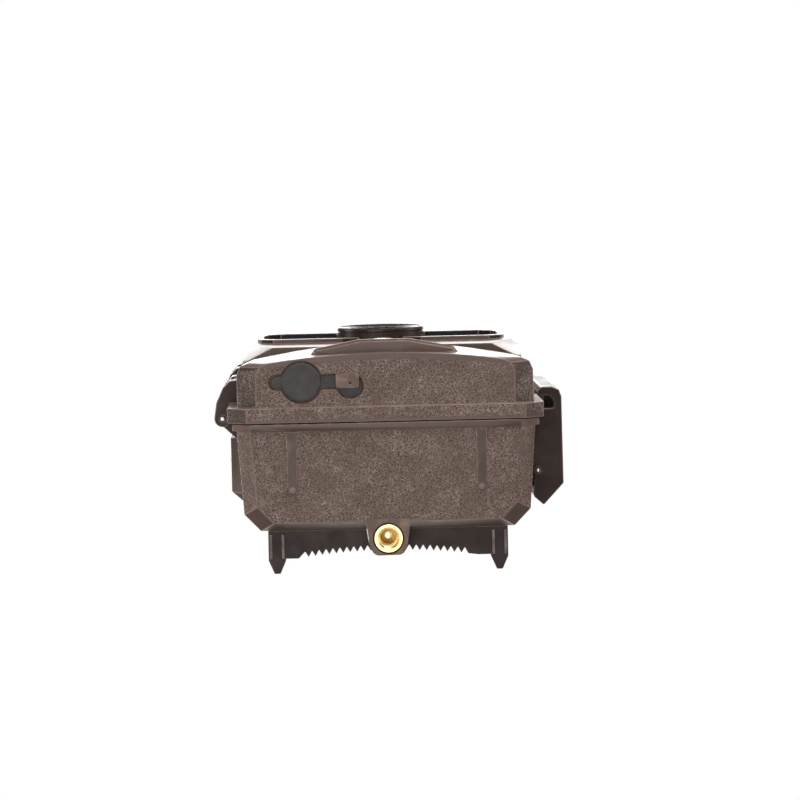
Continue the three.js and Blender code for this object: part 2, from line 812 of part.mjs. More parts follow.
function frontShell() {
  const flange = flangePlate(FRONT_FLANGE.halfWidth, -FRONT_FLANGE.depth, -SEAM_GAP);
  const trimmedFlange = cutBy(flange, catchRoom(), ...HINGE_SETS.map(hingeNotch));
  const outer = joined(
    lowerFront(),
    brow(),
    pod(),
    windowRims(),
    trimmedFlange,
    latchCatch(),
    ...HINGE_SETS.map(frontHinge),
  );
  const lowerHollow = frontPlan({
    halfWidth: FRONT_HALF_WIDTH - WALL,
    edgeY: LOWER_TOP.edgeY + WALL,
    sagitta: LOWER_TOP.sagitta,
    corner: FRONT_CORNER,
    startY: 5,
  });
  const hollowed = cutBy(outer, prismZ(lowerHollow, 5.4, LOWER_TOP.z), browHollow().add(lowerToBrow()));
  const drilled = cutBy(
    joined(hollowed, panelPosts()),
    bothWindows(0, RIM_Y - 1, BROW.y + WALL + 1),
    lensSurround(LENS.outer + GAP, RIM_Y - 1, BROW.y - 0.01),
    lensSurround(LENS.inner + GAP, RIM_Y - 1, BROW.y + WALL + 1),
    pirOpening(GAP),
    rod("y", STATUS_LED.radius + GAP, [0, STATUS_LED.z], -30, -15, 16),
    rod("y", MICROPHONE.hole, [MICROPHONE.x, MICROPHONE.z], -30, -15, 8),
    screwBores(PANEL_SCREWS, -16, 0),
    ...hingeBores(),
    coverPocket(),
  );
  return joined(drilled, lensBridge(), coverRetainer());
}

// The hollow runs on from the lower front into the brow.
function lowerToBrow() {
  const side = FRONT_HALF_WIDTH - WALL - 0.8;
  const plan = mirrorX([
    [side - 3.6, -15.5],
    [side, -12],
    [side, 5],
  ]);
  return prismZ(plan, 50, 75);
}

// The windows are cut right across behind the lens ring, so a ring of wall is put back for it.
function lensBridge() {
  const wall = [BROW.y, BROW.y + WALL];
  const ring = lensSurround(LENS.outer + 1.5, ...wall);
  const posts = [
    [BROW.bottom + 12, LENS.z - LENS.inner - 1],
    [LENS.z + LENS.inner + 1, 111],
  ].map((span) => box([-9, 9], wall, span));
  return cutBy(joined(ring, ...posts), lensSurround(LENS.inner + GAP, wall[0] - 1, wall[1] + 1));
}

function infraredWindow(side) {
  const outline = windowOutline(-GAP).map(([x, z]) => [side * x, z]);
  const front = RIM_Y + WINDOW_PLATE.recess;
  const plate = prismY(side > 0 ? outline : outline.reverse(), front, front + WINDOW_PLATE.thickness);
  return plate.subtract(lensSurround(LENS.outer + 1.5 + GAP, -40, 0));
}

// ---------------------------------------------------------------- optics and sensors

function lensBezel() {
  const base = BROW.y - GAP;
  const length = base - LENS.y;
  const profile = [
    [LENS.inner + 0.4, 0],
    [LENS.outer, 0],
    [LENS.outer, length - 0.7],
    [LENS.outer - 0.7, length],
    [LENS.inner + 1.2, length],
    [LENS.inner + 0.4, length - 0.9],
    [LENS.inner + 0.4, 0],
  ];
  return turnedForward(profile, 0, base, LENS.z, 40);
}

function lensBarrel() {
  const back = -14.6;
  const length = back - LENS.y - 0.9;
  const profile = [
    [4.6, 0],
    [6.5, 0],
    [LENS.inner - 0.2, 4],
    [LENS.inner - 0.2, length],
    [10.6, length],
    [10.6, length - 2],
    [9.6, length - 2.4],
    [4.6, length - 7],
    [4.6, 0],
  ];
  return turnedForward(profile, 0, back, LENS.z, 32);
}

function lensCoverGlass() {
  const back = LENS.y + 0.9 + 1.7;
  return turnedForward([[0, 0], [10.2, 0], [10.2, 1.1], [0, 1.1]], 0, back, LENS.z, 32);
}

function lensElement() {
  const profile = [
    [0, 0],
    [4.2, 0],
    [4.2, 2.6],
    [3.4, 3.4],
    [2, 4],
    [0, 4.2],
  ];
  return turnedForward(profile, 0, -16, LENS.z, 20);
}

const BOARD_BACK_Y = BOARD_Y + BOARD_THICKNESS;

function imageSensor() {
  return box([-4.5, 4.5], [BOARD_Y - GAP - 1.2, BOARD_Y - GAP], [LENS.z - 4.5, LENS.z + 4.5]);
}

const LED_BOARD = { x: [-44, 44], y: [-18.2, -16.8], z: [73, 111] };
const LAMP = { tipY: -20, radius: 2.4, columns: [19.5, 25.5, 31.5, 37.5], rows: [80, 88, 96, 104] };

function infraredBoard() {
  const { x: boardX, y: boardY, z: boardZ } = LED_BOARD;
  const board = box(boardX, boardY, boardZ);
  const lamp = (x, z) => rod("y", LAMP.radius, [x, z], LAMP.tipY, boardY[0] + 0.4, 6);
  const lamps = LAMP.columns.flatMap((x) => LAMP.rows.flatMap((z) => [lamp(x, z), lamp(-x, z)]));
  return joined(board, ...lamps).subtract(lensSurround(LENS.inner + 0.4, -40, 0));
}

function pirOutline(offset) {
  const { z, halfWidth, halfHeight, corner } = PIR;
  return roundedRectangle(
    [-halfWidth - offset, halfWidth + offset],
    [z - halfHeight - offset, z + halfHeight + offset],
    corner,
  );
}

function pirOpening(offset) {
  return prismY(pirOutline(offset), -40, -15);
}

function pirLens() {
  const curve = arc(0, 0.2, PIR.curve, -114.5, -65.5, 8);
  const shell = [...curve, ...curve.map(([x, y]) => [x, y + PIR.thickness]).reverse()];
  const bow = prismZ(shell, 0, HEIGHT);
  return bow.intersect(pirOpening(0));
}

function pirSensor() {
  const profile = [
    [0, 0],
    [5, 0],
    [5, 0.8],
    [4.1, 0.8],
    [4.1, 4.4],
    [0, 4.4],
  ];
  return turnedForward(profile, 0, BOARD_Y - GAP, PIR.z, 20);
}

function statusLed() {
  const { radius, z } = STATUS_LED;
  const profile = [
    [0, 0],
    [radius, 0],
    [radius, 3.6],
    [radius - 0.7, 4.2],
    [0, 4.4],
  ];
  return turnedForward(profile, 0, BROW.y + 4, z, 16);
}

function microphone() {
  return rod("y", MICROPHONE.radius, [MICROPHONE.x, MICROPHONE.z], -17.6, -15, 16);
}

// ---------------------------------------------------------------- control side

const SCREEN = { x: [-22, 22], z: [91, 125] };
const BUTTON = { radius: 3.1, flange: 3.9, travel: 0.6 };
const PAD = { x: 13, z: 70, step: 9 };
const BUTTONS = {
  button_up: [PAD.x, PAD.z + PAD.step],
  button_down: [PAD.x, PAD.z - PAD.step],
  button_left: [PAD.x + PAD.step, PAD.z],
  button_right: [PAD.x - PAD.step, PAD.z],
  button_ok: [PAD.x, PAD.z],
  button_menu: [-10, 76],
  button_shot: [-10, 64],
};
const SWITCH = { x: -30, low: 62, knob: 6, travel: 8 };
const CARD = { x: [12, 36], y: [-8.9, -6.8], z: [22, 54] };
const CARD_CORNER = 4;
const CARD_SOCKET = { x: [10.6, 37.4], y: [-10.3, -5.6], z: [26, 56] };
const CARD_BAY = { x: [10, 38], z: [12.4, 57] };
const USB = { x: [-8, 1], z: [16, 24] };
const SPEAKER = { x: -28, z: 40, radius: 8, grille: 4, hole: 0.9 };

function panelPlate() {
  const outline = chamferedRectangle([-PANEL.halfWidth, PANEL.halfWidth], [PANEL.bottom, PANEL.top], 5);
  return prismY(outline, PANEL.frontY, PANEL.backY);
}

function innerPanel() {
  const through = [PANEL.frontY - 1, PANEL.backY + 1];
  const window = ([x0, x1], [z0, z1]) => box([x0, x1], through, [z0, z1]);
  const holes = Object.values(BUTTONS).map((at) => rod("y", BUTTON.radius + GAP, at, ...through, 16));
  const ring = arc(SPEAKER.x, SPEAKER.z, SPEAKER.grille, 0, 300, 5);
  const grille = [[SPEAKER.x, SPEAKER.z], ...ring].map((at) => rod("y", SPEAKER.hole, at, ...through, 8));
  const { x, low, knob, travel } = SWITCH;
  return cutBy(
    panelPlate(),
    window(SCREEN.x, SCREEN.z),
    window([x - 2.6, x + 2.6], [low - GAP, low + knob + travel + GAP]),
    window(CARD_BAY.x, CARD_BAY.z),
    window([USB.x[0] - GAP, USB.x[1] + GAP], [USB.z[0] - GAP, USB.z[1] + GAP]),
    ...grille,
    ...holes,
    screwBores(PANEL_SCREWS, ...through),
  );
}

function button([x, z]) {
  const profile = [
    [0, 0],
    [BUTTON.radius - 0.5, 0],
    [BUTTON.radius, 0.5],
    [BUTTON.radius, 5.6],
    [BUTTON.flange, 5.6],
    [BUTTON.flange, 6.6],
    [0, 6.6],
  ];
  return turnedForward(profile, x, -1.6, z, 14);
}

function switchKnob() {
  const { x, low, knob } = SWITCH;
  const stem = box([x - 2.2, x + 2.2], [-7.4, -1.5], [low, low + knob]);
  const shoe = box([x - 3.6, x + 3.6], [-7.4, -6.2], [low - 1, low + knob + 1]);
  return joined(stem, shoe);
}

function displayModule() {
  const { x, z } = SCREEN;
  return box([x[0] - 3, x[1] + 3], [-8.3, PANEL.frontY - GAP], [z[0] - 4, z[1] + 3]);
}

function cardSocket() {
  const { x, y, z } = CARD_SOCKET;
  const roomFor = ([low, high]) => [low - GAP, high + GAP];
  const bay = box(roomFor(CARD.x), roomFor(CARD.y), [0, CARD.z[1] + GAP]);
  return box(x, y, z).subtract(bay);
}

function memoryCard() {
  const { x, y, z } = CARD;
  const outline = [
    [x[0], z[0]],
    [x[1], z[0]],
    [x[1], z[1] - CARD_CORNER],
    [x[1] - CARD_CORNER, z[1]],
    [x[0], z[1]],
  ];
  return prismY(outline, ...y);
}

function usbPort() {
  const { x, z } = USB;
  const mouth = box([x[0] + 0.8, x[1] - 0.8], [-8, 0], [z[0] + 2, z[1] - 2]);
  return box(x, [BOARD_BACK_Y + GAP, -3.6], z).subtract(mouth);
}

function speaker() {
  return rod("y", SPEAKER.radius, [SPEAKER.x, SPEAKER.z], -8.6, PANEL.frontY - GAP, 24);
}

const MAIN_BOARD = { x: [-37, 37], z: [16, 136] };
const CHIPS = [
  { x: -34, z: 84, width: 6, height: 12, tall: 1 },
  { x: -10, z: 44, width: 14, height: 14, tall: 1.1 },
  { x: -10, z: 26, width: 9, height: 11, tall: 1 },
  { x: 3, z: 17, width: 6, height: 6, tall: 1.2 },
  { x: -34, z: 104, width: 5, height: 22, tall: 1.2 },
];

function mainBoard() {
  const footY = BOARD_BACK_Y - 0.1;
  const chips = CHIPS.map(({ x, z, width, height, tall }) =>
    box([x, x + width], [footY, BOARD_BACK_Y + tall], [z, z + height]),
  );
  const switchBlock = box([SWITCH.x - 4, SWITCH.x + 4], [footY, -7.8], [SWITCH.low - 4, SWITCH.low + 18]);
  return joined(box(MAIN_BOARD.x, [BOARD_Y, BOARD_BACK_Y], MAIN_BOARD.z), ...chips, switchBlock);
}

const JACK = { halfWidth: 4.2, ahead: 3.5, behind: 4.5, bottom: 5.7, top: 15, bore: 2.9, pin: 0.7 };

function dcJack() {
  const { halfWidth, ahead, behind, bottom, top } = JACK;
  const { x, y } = COVER;
  const body = box([x - halfWidth, x + halfWidth], [y - ahead, y + behind], [bottom, top]);
  const bore = rod("z", JACK.bore, [x, y], 0, top - 2, 20);
  const pin = rod("z", JACK.pin, [x, y], bottom + 0.7, top - 1, 10);
  return body.subtract(bore).add(pin);
}

// ---------------------------------------------------------------- rubber cover and latch

function portCover() {
  const { x, y, radius, face, back, plug: plugRadius, hingeX } = COVER;
  const plugTop = 4.8;
  const discProfile = [
    [0, face],
    [radius - 0.5, face],
    [radius, face + 0.5],
    [radius, back],
    [0, back],
  ];
  const plugProfile = [
    [0, back - 0.2],
    [plugRadius, back - 0.2],
    [plugRadius - 0.3, plugTop],
    [0, plugTop],
  ];
  const disc = turnedUp(discProfile, x, y, 0, 40);
  const plug = turnedUp(plugProfile, x, y, 0, 24);
  const strap = box([x, hingeX - LIVING_HINGE.coverGap], STRAP.y, STRAP.z);
  const tab = prismZ(roundedRectangle(PULL_TAB.x, PULL_TAB.y, PULL_TAB.corner), 0.7, back);
  return joined(disc, plug, strap, tab);
}

function coverAnchor() {
  const strap = box([COVER.hingeX + LIVING_HINGE.anchorGap, LOBE.x[0] + 2], STRAP.y, STRAP.z);
  return joined(prismZ(roundedRectangle(LOBE.x, LOBE.y, LOBE.corner, 6), ...STRAP.z), strap);
}

function latchLever() {
  const { bottom, top, pinX, pinY, outerX, frontY, cheek, plate } = LATCH;
  const inner = outerX - plate;
  const innerEdge = 52.2;
  const tailY = 28;
  const hook = [
    [innerEdge, tailY],
    [inner, tailY],
    [inner, -2.2],
    [inner - 1.6, frontY + 3],
    [pinX, frontY + 3],
    [pinX, frontY + 1.4],
    [pinX + 1.4, frontY],
    [outerX - 3.6, frontY],
    [outerX - 1.1, frontY + 1.1],
    [outerX - 0.3, frontY + 3.6],
    [outerX, 26.5],
    [55.5, 34.1],
    [innerEdge, 31.2],
  ];
  const cheekPlan = [
    [innerEdge, 0],
    [inner + 0.5, 0],
    [inner + 0.5, tailY + 0.5],
    [innerEdge, tailY + 0.5],
  ];
  const body = joined(
    prismZ(hook, bottom, top),
    prismZ(cheekPlan, bottom, bottom + cheek),
    prismZ(cheekPlan, top - cheek, top),
  );
  return body.subtract(rod("z", HINGE.bore, [pinX, pinY], 0, HEIGHT, 16));
}

// ---------------------------------------------------------------- assembly

const camera = new THREE.Group();

function add(name, body, finish) {
  const [color, roughness, metalness] = finishes[finish];
  const { vertProperties, triVerts, numProp } = body.getMesh();
  const geometry = new THREE.BufferGeometry();
  const positions = Array.from(
    { length: vertProperties.length / numProp },
    (_, i) => Array.from(vertProperties.slice(i * numProp, i * numProp + 3)),
  ).flat();
  geometry.setAttribute("position", new THREE.Float32BufferAttribute(positions, 3));
  geometry.setIndex(Array.from(triVerts));
  geometry.computeVertexNormals();
  const mesh = new THREE.Mesh(geometry, new THREE.MeshStandardMaterial({ color, roughness, metalness }));
  mesh.name = name;
  camera.add(mesh);
}

add("rear_shell", rearShell(), "casePlastic");
add("seam_gasket", gasket(), "rubber");
add("tree_bracket", treeBracket(), "smoothPlastic");
add("tripod_insert", tripodInsert(), "brass");
HINGE_SETS.forEach((low, i) => add(`hinge_pin_${i + 1}`, hingePin(low), "steel"));
add("latch_pin", latchPin(), "steel");
add("latch_lever", latchLever(), "smoothPlastic");

add("battery_tray", batteryTray(), "blackPlastic");
TRAY_SCREWS.forEach((at, i) => add(`tray_screw_${i + 1}`, screw(at, TRAY.frontY - GAP, 9, 1), "steel"));
CELL_ROWS.forEach((row, rowIndex) => {
  CELL_X.forEach((x, column) => {
    add(`battery_${rowIndex * CELL_COLUMNS + column + 1}`, cell(x, row, column % 2 === 0), "cellWrap");
  });
  add(`contact_strip_low_${rowIndex + 1}`, contactStrip(row, false), "spring");
  add(`contact_strip_high_${rowIndex + 1}`, contactStrip(row, true), "spring");
});

add("front_shell", frontShell(), "casePlastic");
add("ir_window_left", infraredWindow(-1), "smokedAcrylic");
add("ir_window_right", infraredWindow(1), "smokedAcrylic");
add("ir_led_board", infraredBoard(), "circuitBoard");
add("lens_bezel", lensBezel(), "blackPlastic");
add("lens_barrel", lensBarrel(), "blackPlastic");
add("lens_cover_glass", lensCoverGlass(), "clearGlass");
add("lens_element", lensElement(), "clearGlass");
add("image_sensor", imageSensor(), "screen");
add("pir_lens", pirLens(), "fresnel");
add("pir_sensor", pirSensor(), "steel");
add("status_led", statusLed(), "clearGlass");
add("microphone", microphone(), "steel");
add("main_board", mainBoard(), "circuitBoard");
add("dc_jack", dcJack(), "blackPlastic");
add("port_cover", portCover(), "rubber");
add("port_cover_anchor", coverAnchor(), "rubber");

add("inner_panel", innerPanel(), "blackPlastic");
PANEL_SCREWS.forEach((at, i) => add(`panel_screw_${i + 1}`, screw(at, PANEL.backY + GAP, 8, -1), "steel"));
add("display", displayModule(), "screen");
Object.entries(BUTTONS).forEach(([name, at]) => add(name, button(at), "greyButton"));
add("power_switch", switchKnob(), "greyButton");
add("card_socket", cardSocket(), "steel");
add("memory_card", memoryCard(), "cardPlastic");
add("usb_port", usbPort(), "steel");
add("speaker", speaker(), "blackPlastic");

// The origin goes under the middle of the camera's box.
const hingeOuterX = HINGE.x - HINGE.radius;
camera.position.set(
  -(hingeOuterX + LATCH.outerX) / 2,
  -(LENS.y + BRACKET.tipY) / 2,
  0,
);

export default camera;
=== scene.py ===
"""Looks for the trail camera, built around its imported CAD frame. Metres, +Z up, the lens faces -Y."""

import json
import math
from collections import Counter

import bmesh
import bpy
from mathutils import Matrix, Vector
from mathutils.geometry import delaunay_2d_cdt

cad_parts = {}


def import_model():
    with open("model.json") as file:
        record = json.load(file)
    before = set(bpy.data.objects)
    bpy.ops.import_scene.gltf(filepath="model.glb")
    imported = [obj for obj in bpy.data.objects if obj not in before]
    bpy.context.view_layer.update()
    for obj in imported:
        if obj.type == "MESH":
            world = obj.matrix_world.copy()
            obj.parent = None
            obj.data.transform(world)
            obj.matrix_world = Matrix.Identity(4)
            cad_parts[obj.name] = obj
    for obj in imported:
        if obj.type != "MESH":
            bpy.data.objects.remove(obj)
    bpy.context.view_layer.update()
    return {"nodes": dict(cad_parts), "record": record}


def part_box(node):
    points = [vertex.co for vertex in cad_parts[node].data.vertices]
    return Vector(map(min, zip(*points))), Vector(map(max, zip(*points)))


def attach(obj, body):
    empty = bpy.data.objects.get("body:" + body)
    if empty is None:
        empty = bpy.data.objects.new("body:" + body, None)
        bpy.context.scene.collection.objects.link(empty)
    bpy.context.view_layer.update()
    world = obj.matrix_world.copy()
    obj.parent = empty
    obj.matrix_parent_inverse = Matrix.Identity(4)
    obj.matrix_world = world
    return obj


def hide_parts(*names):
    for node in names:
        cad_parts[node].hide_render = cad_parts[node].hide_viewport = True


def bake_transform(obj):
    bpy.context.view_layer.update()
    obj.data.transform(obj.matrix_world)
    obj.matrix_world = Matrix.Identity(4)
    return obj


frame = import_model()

MM = 0.001
NODES = frame["nodes"]
RECORD = frame["record"]
BODY_OF = {node: body for body, nodes in RECORD["behaviour"]["bodies"].items() for node in nodes}
SLOT_OF = {part["node"]: part["material_slot"] for part in RECORD["subparts"]}


# ---------------------------------------------------------------- places taken from the frame

def span(node, axis):
    """Lowest and highest value of a node along axis 0, 1 or 2."""
    low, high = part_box(node)
    return low[axis], high[axis]


def middle(node):
    """The middle of a node's box, as a row-frame point."""
    low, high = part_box(node)
    return (low + high) / 2


ORIGIN = Vector((middle("tripod_insert").x, middle("hinge_pin_1").y, 0))


def place(x, y, z):
    """A point from the middle of the case and the seam plane, in millimetres."""
    return ORIGIN + Vector((x, y, z)) * MM


def case_point(point):
    """The other way: a point of the row as millimetres from the case's middle and seam."""
    return (point - ORIGIN) / MM


def limits(node):
    """A node's lowest and highest corner, in millimetres from the case's middle and seam."""
    low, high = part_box(node)
    return case_point(low), case_point(high)


def size_of(node):
    """A node's size in millimetres."""
    low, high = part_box(node)
    return (high - low) / MM


def front_of(node):
    """The middle of a node's front, as a row-frame point."""
    centre = middle(node)
    return Vector((centre.x, span(node, 1)[0], centre.z))


def foot_of(node):
    """The middle of a node's underside, as a row-frame point."""
    centre = middle(node)
    return Vector((centre.x, centre.y, span(node, 2)[0]))


# ---------------------------------------------------------------- node materials

class Nodes:
    """Builds one node material. Coordinates are the row frame's, in metres."""

    def __init__(self, name):
        self.material = bpy.data.materials.new(name)
        self.material.use_nodes = True
        self.tree = self.material.node_tree
        self.shader = self.tree.nodes["Principled BSDF"]
        self.place = self.tree.nodes.new("ShaderNodeTexCoord").outputs["Object"]

    def feed(self, socket, value):
        """Links an output to a socket, or sets the socket to a plain value."""
        if isinstance(value, bpy.types.NodeSocket):
            self.tree.links.new(value, socket)
        else:
            socket.default_value = value

    def node(self, kind, feeds=None, **settings):
        """A new node, with what its inputs are fed by name or number, and its settings."""
        made = self.tree.nodes.new(kind)
        for key, value in settings.items():
            setattr(made, key, value)
        for key, value in (feeds or {}).items():
            self.feed(made.inputs[key], value)
        return made

    def scaled(self, scale):
        """The row's coordinates, stretched along the axes where scale is small."""
        return self.node("ShaderNodeMapping", {"Vector": self.place, "Scale": scale}).outputs[0]

    def noise(self, scale, detail=3.0, roughness=0.55, vector=None):
        feeds = {"Vector": vector or self.place, "Scale": scale, "Detail": detail, "Roughness": roughness}
        return self.node("ShaderNodeTexNoise", feeds).outputs["Fac"]

    def voronoi(self, scale, feature="DISTANCE_TO_EDGE", vector=None, randomness=1.0):
        feeds = {"Vector": vector or self.place, "Scale": scale, "Randomness": randomness}
        return self.node("ShaderNodeTexVoronoi", feeds, feature=feature).outputs["Distance"]

    def warped(self, scale, amount):
        """The row's coordinates, pushed about by noise."""
        noise = self.node("ShaderNodeTexNoise", {"Vector": self.place, "Scale": scale, "Detail": 2.0})
        feeds = {0: noise.outputs["Color"], 1: (0.5, 0.5, 0.5)}
        centred = self.node("ShaderNodeVectorMath", feeds, operation="SUBTRACT")
        feeds = {0: centred.outputs[0], 1: (amount, amount, amount), 2: self.place}
        return self.node("ShaderNodeVectorMath", feeds, operation="MULTIPLY_ADD").outputs[0]

    def remap(self, value, low, high, to_low=0.0, to_high=1.0):
        feeds = {"Value": value, "From Min": low, "From Max": high, "To Min": to_low, "To Max": to_high}
        return self.node("ShaderNodeMapRange", feeds, interpolation_type="SMOOTHSTEP").outputs["Result"]

    def maths(self, operation, a, b, clamp=False):
        return self.node("ShaderNodeMath", {0: a, 1: b}, operation=operation, use_clamp=clamp).outputs[0]

    def mix(self, factor, a, b):
        """Two colours mixed."""
        return self.node("ShaderNodeMix", {0: factor, 6: a, 7: b}, data_type="RGBA").outputs[2]

    def bump(self, height, distance, strength=1.0, after=None):
        """A bumped normal, on top of another one if that is given."""
        feeds = {"Strength": strength, "Distance": distance, "Height": height}
        if after is not None:
            feeds["Normal"] = after
        return self.node("ShaderNodeBump", feeds).outputs[0]

    def wear_and_highlight(self, width, low=0.5, high=0.62):
        """1 on sharp outer edges, partly wear and partly a painted highlight, 0 elsewhere."""
        geometry = self.node("ShaderNodeNewGeometry")
        edges = self.remap(geometry.outputs["Pointiness"], low, high)
        broken = self.remap(self.noise(1 / width, detail=4.0), 0.45, 0.62)
        return self.maths("MULTIPLY", edges, broken)

    def done(self, color, roughness, normal=None, **constants):
        """Feeds the shader and returns the material."""
        self.feed(self.shader.inputs["Base Color"], color)
        self.feed(self.shader.inputs["Roughness"], roughness)
        if normal is not None:
            self.feed(self.shader.inputs["Normal"], normal)
        for name, value in constants.items():
            self.shader.inputs[name.replace("_", " ")].default_value = value
        return self.material


def linear(red, green, blue):
    """An sRGB colour, 0 to 255, as the shader's linear colour."""
    def channel(value):
        value /= 255
        return value / 12.92 if value <= 0.04045 else ((value + 0.055) / 1.055) ** 2.4
    return (channel(red), channel(green), channel(blue), 1.0)


def front_band(m, split):
    """1 on the smooth band along the front half's curved edge, seen from below."""
    edge_y, fall, half = FRONT_EDGE
    across = m.maths("MULTIPLY", m.maths("SUBTRACT", split.outputs["X"], ORIGIN.x), 1 / half)
    curve = m.maths("MULTIPLY", m.maths("POWER", m.maths("ABSOLUTE", across, 0), 2.0), fall)
    depth = m.maths("SUBTRACT", m.maths("SUBTRACT", split.outputs["Y"], edge_y), curve)
    return m.remap(depth, BAND_WIDTH, BAND_WIDTH + 0.25 * MM, 1.0, 0.0)


def seam_band(m, split):
    """1 on the two smooth lips either side of the seam."""
    offset = m.maths("SUBTRACT", split.outputs["Y"], ORIGIN.y)
    ahead = m.remap(offset, -LIP_AHEAD - 0.15 * MM, -LIP_AHEAD)
    behind = m.remap(offset, LIP_BEHIND, LIP_BEHIND + 0.15 * MM, 1.0, 0.0)
    return m.maths("MULTIPLY", ahead, behind)


def crinkles(m):
    """A leathery net of short light creases: edges of small warped cells, thinned out in patches."""
    fibres = None
    for scale, width, push, patch in ((850, 0.09, 0.0014, 700), (1350, 0.11, 0.0010, 1100)):
        cells = m.voronoi(scale, vector=m.warped(scale * 0.9, push))
        line = m.remap(cells, width * 0.2, width, 1.0, 0.0)
        kept = m.remap(m.noise(patch, detail=4.0, roughness=0.7), 0.34, 0.6, 0.35, 1.0)
        line = m.maths("MULTIPLY", line, kept)
        fibres = line if fibres is None else m.maths("MAXIMUM", fibres, line)
    return fibres


def bark_plastic(name, dark, light, veins):
    """Brown moulding with a print of broken light fibres, smooth along the front edge and the seam."""
    m = Nodes(name)
    split = m.node("ShaderNodeSeparateXYZ")
    m.feed(split.inputs[0], m.place)
    smooth = m.maths("MAXIMUM", front_band(m, split), seam_band(m, split))
    printed = m.maths("SUBTRACT", 1.0, smooth, True)
    fibres = m.maths("MULTIPLY", crinkles(m), printed)
    pits = m.maths("MULTIPLY", m.remap(m.noise(700, detail=2.0), 0.56, 0.7), printed)
    cloud = m.remap(m.noise(45, detail=4.0), 0.3, 0.7)
    ground = m.mix(cloud, linear(*dark), linear(*light))
    ground = m.mix(m.maths("MULTIPLY", pits, 0.75), ground, linear(60, 44, 38))
    tone = m.remap(m.noise(110, detail=2.0), 0.35, 0.65)
    vein = m.mix(tone, linear(*veins[0]), linear(*veins[1]))
    color = m.mix(fibres, ground, vein)
    matt = m.maths("MULTIPLY", m.remap(m.noise(420, detail=3.0), 0.25, 0.75, 0.5, 0.7), printed)
    roughness = m.maths("ADD", matt, m.maths("MULTIPLY", smooth, 0.33))
    grain = m.bump(m.noise(2600, detail=2.0), 0.00004, 0.5)
    height = m.maths("SUBTRACT", fibres, m.maths("MULTIPLY", pits, 0.6))
    return m.done(color, roughness, m.bump(height, 0.00018, 0.9, after=grain), Specular_IOR_Level=0.35)


def satin_plastic(name, dark, light, roughness, worn_and_lit=None):
    """Smooth moulding with faint flow marks, fine grain and lighter sharp edges, partly rubbed wear and
    partly a painted highlight.
    """
    m = Nodes(name)
    flow = m.remap(m.noise(35, detail=5.0, vector=m.scaled((1, 1, 0.3))), 0.3, 0.7)
    color = m.mix(flow, linear(*dark), linear(*light))
    # lighter sharp edges: partly wear, partly a painted highlight
    rubbed_and_highlit = m.wear_and_highlight(0.004)
    edge = worn_and_lit or tuple(min(255, int(channel * 1.5)) for channel in light)
    color = m.mix(m.maths("MULTIPLY", rubbed_and_highlit, 0.45), color, linear(*edge))
    sheen = m.remap(m.noise(160, detail=4.0), 0.3, 0.7, *roughness)
    grain = m.noise(2400, detail=2.0)
    return m.done(color, sheen, m.bump(grain, 0.00003, 0.45), Specular_IOR_Level=0.35)


def rubber():
    """Matt grey rubber with a little dust."""
    m = Nodes("moulded_rubber")
    cloud = m.remap(m.noise(90, detail=4.0), 0.3, 0.7)
    color = m.mix(cloud, linear(66, 62, 60), linear(78, 73, 71))
    dust = m.remap(m.noise(900, detail=5.0, roughness=0.7), 0.62, 0.75)
    color = m.mix(m.maths("MULTIPLY", dust, 0.25), color, linear(120, 114, 110))
    roughness = m.remap(m.noise(300), 0.3, 0.7, 0.62, 0.82)
    return m.done(color, roughness, m.bump(m.noise(3000, detail=3.0), 0.00003, 0.5))


def metal(name, dark, light, roughness, stretch=(1, 1, 1)):
    """Bare metal with tooling lines and fine scratches. The lines run where stretch is small."""
    m = Nodes(name)
    lines = m.noise(900, detail=6.0, roughness=0.7, vector=m.scaled(stretch))
    color = m.mix(m.remap(lines, 0.35, 0.65), linear(*dark), linear(*light))
    stains = m.remap(m.noise(220, detail=3.0), 0.55, 0.75)
    stained = [int(channel * 0.72) for channel in dark]
    color = m.mix(m.maths("MULTIPLY", stains, 0.3), color, linear(*stained))
    rough = m.remap(lines, 0.3, 0.7, *roughness)
    return m.done(color, rough, m.bump(lines, 0.00002, 0.4), Metallic=1.0)


def glass(name, dark, light, tint, smear, wave, **constants):
    """Slightly smeared and wavy glass. The tint is a cloud's scale, or None to follow the viewing angle,
    which paints a reflection: lighter towards grazing view.
    """
    m = Nodes(name)
    if tint is None:
        # colour by viewing angle: painted reflection, lighter towards grazing view
        share = m.node("ShaderNodeLayerWeight", {"Blend": 0.35}).outputs["Facing"]
    else:
        share = m.remap(m.noise(tint), 0.3, 0.7)
    scale, *detail = smear["noise"]
    marks = m.remap(m.noise(scale, *detail), *smear["from"], *smear["to"])
    ripple, depth, strength = wave
    color = m.mix(share, linear(*dark), linear(*light))
    return m.done(color, marks, m.bump(m.noise(ripple), depth, strength), **constants)


def smoked_acrylic():
    """Dark filter plate: a little of the lamps behind it shows through."""
    smear = {"noise": (1400, 6.0, 0.7), "from": (0.6, 0.8), "to": (0.03, 0.14)}
    wave = (25, 0.0001, 0.2)
    return glass(
        "smoked_acrylic", (104, 66, 84), (122, 80, 98), 60, smear, wave, Transmission_Weight=0.9, IOR=1.49
    )


def coated_glass():
    """Dark coated glass: dark violet facing the view, lighter green-blue towards grazing view, a painted
    reflection of the optical coating over black.
    """
    smear = {"noise": (500, 5.0), "from": (0.55, 0.8), "to": (0.02, 0.1)}
    wave = (30, 0.00005, 0.1)
    return glass(
        "coated_glass", (18, 14, 44), (44, 70, 78), None, smear, wave, Coat_Weight=1.0, Coat_Roughness=0.01
    )


def cover_glass():
    """Thin clear glass with a faint blue coating."""
    smear = {"noise": (500, 5.0), "from": (0.55, 0.8), "to": (0.0, 0.06)}
    wave = (30, 0.00003, 0.1)
    return glass(
        "cover_glass", (206, 214, 232), (222, 230, 244), 80, smear, wave, Transmission_Weight=1.0, IOR=1.45
    )


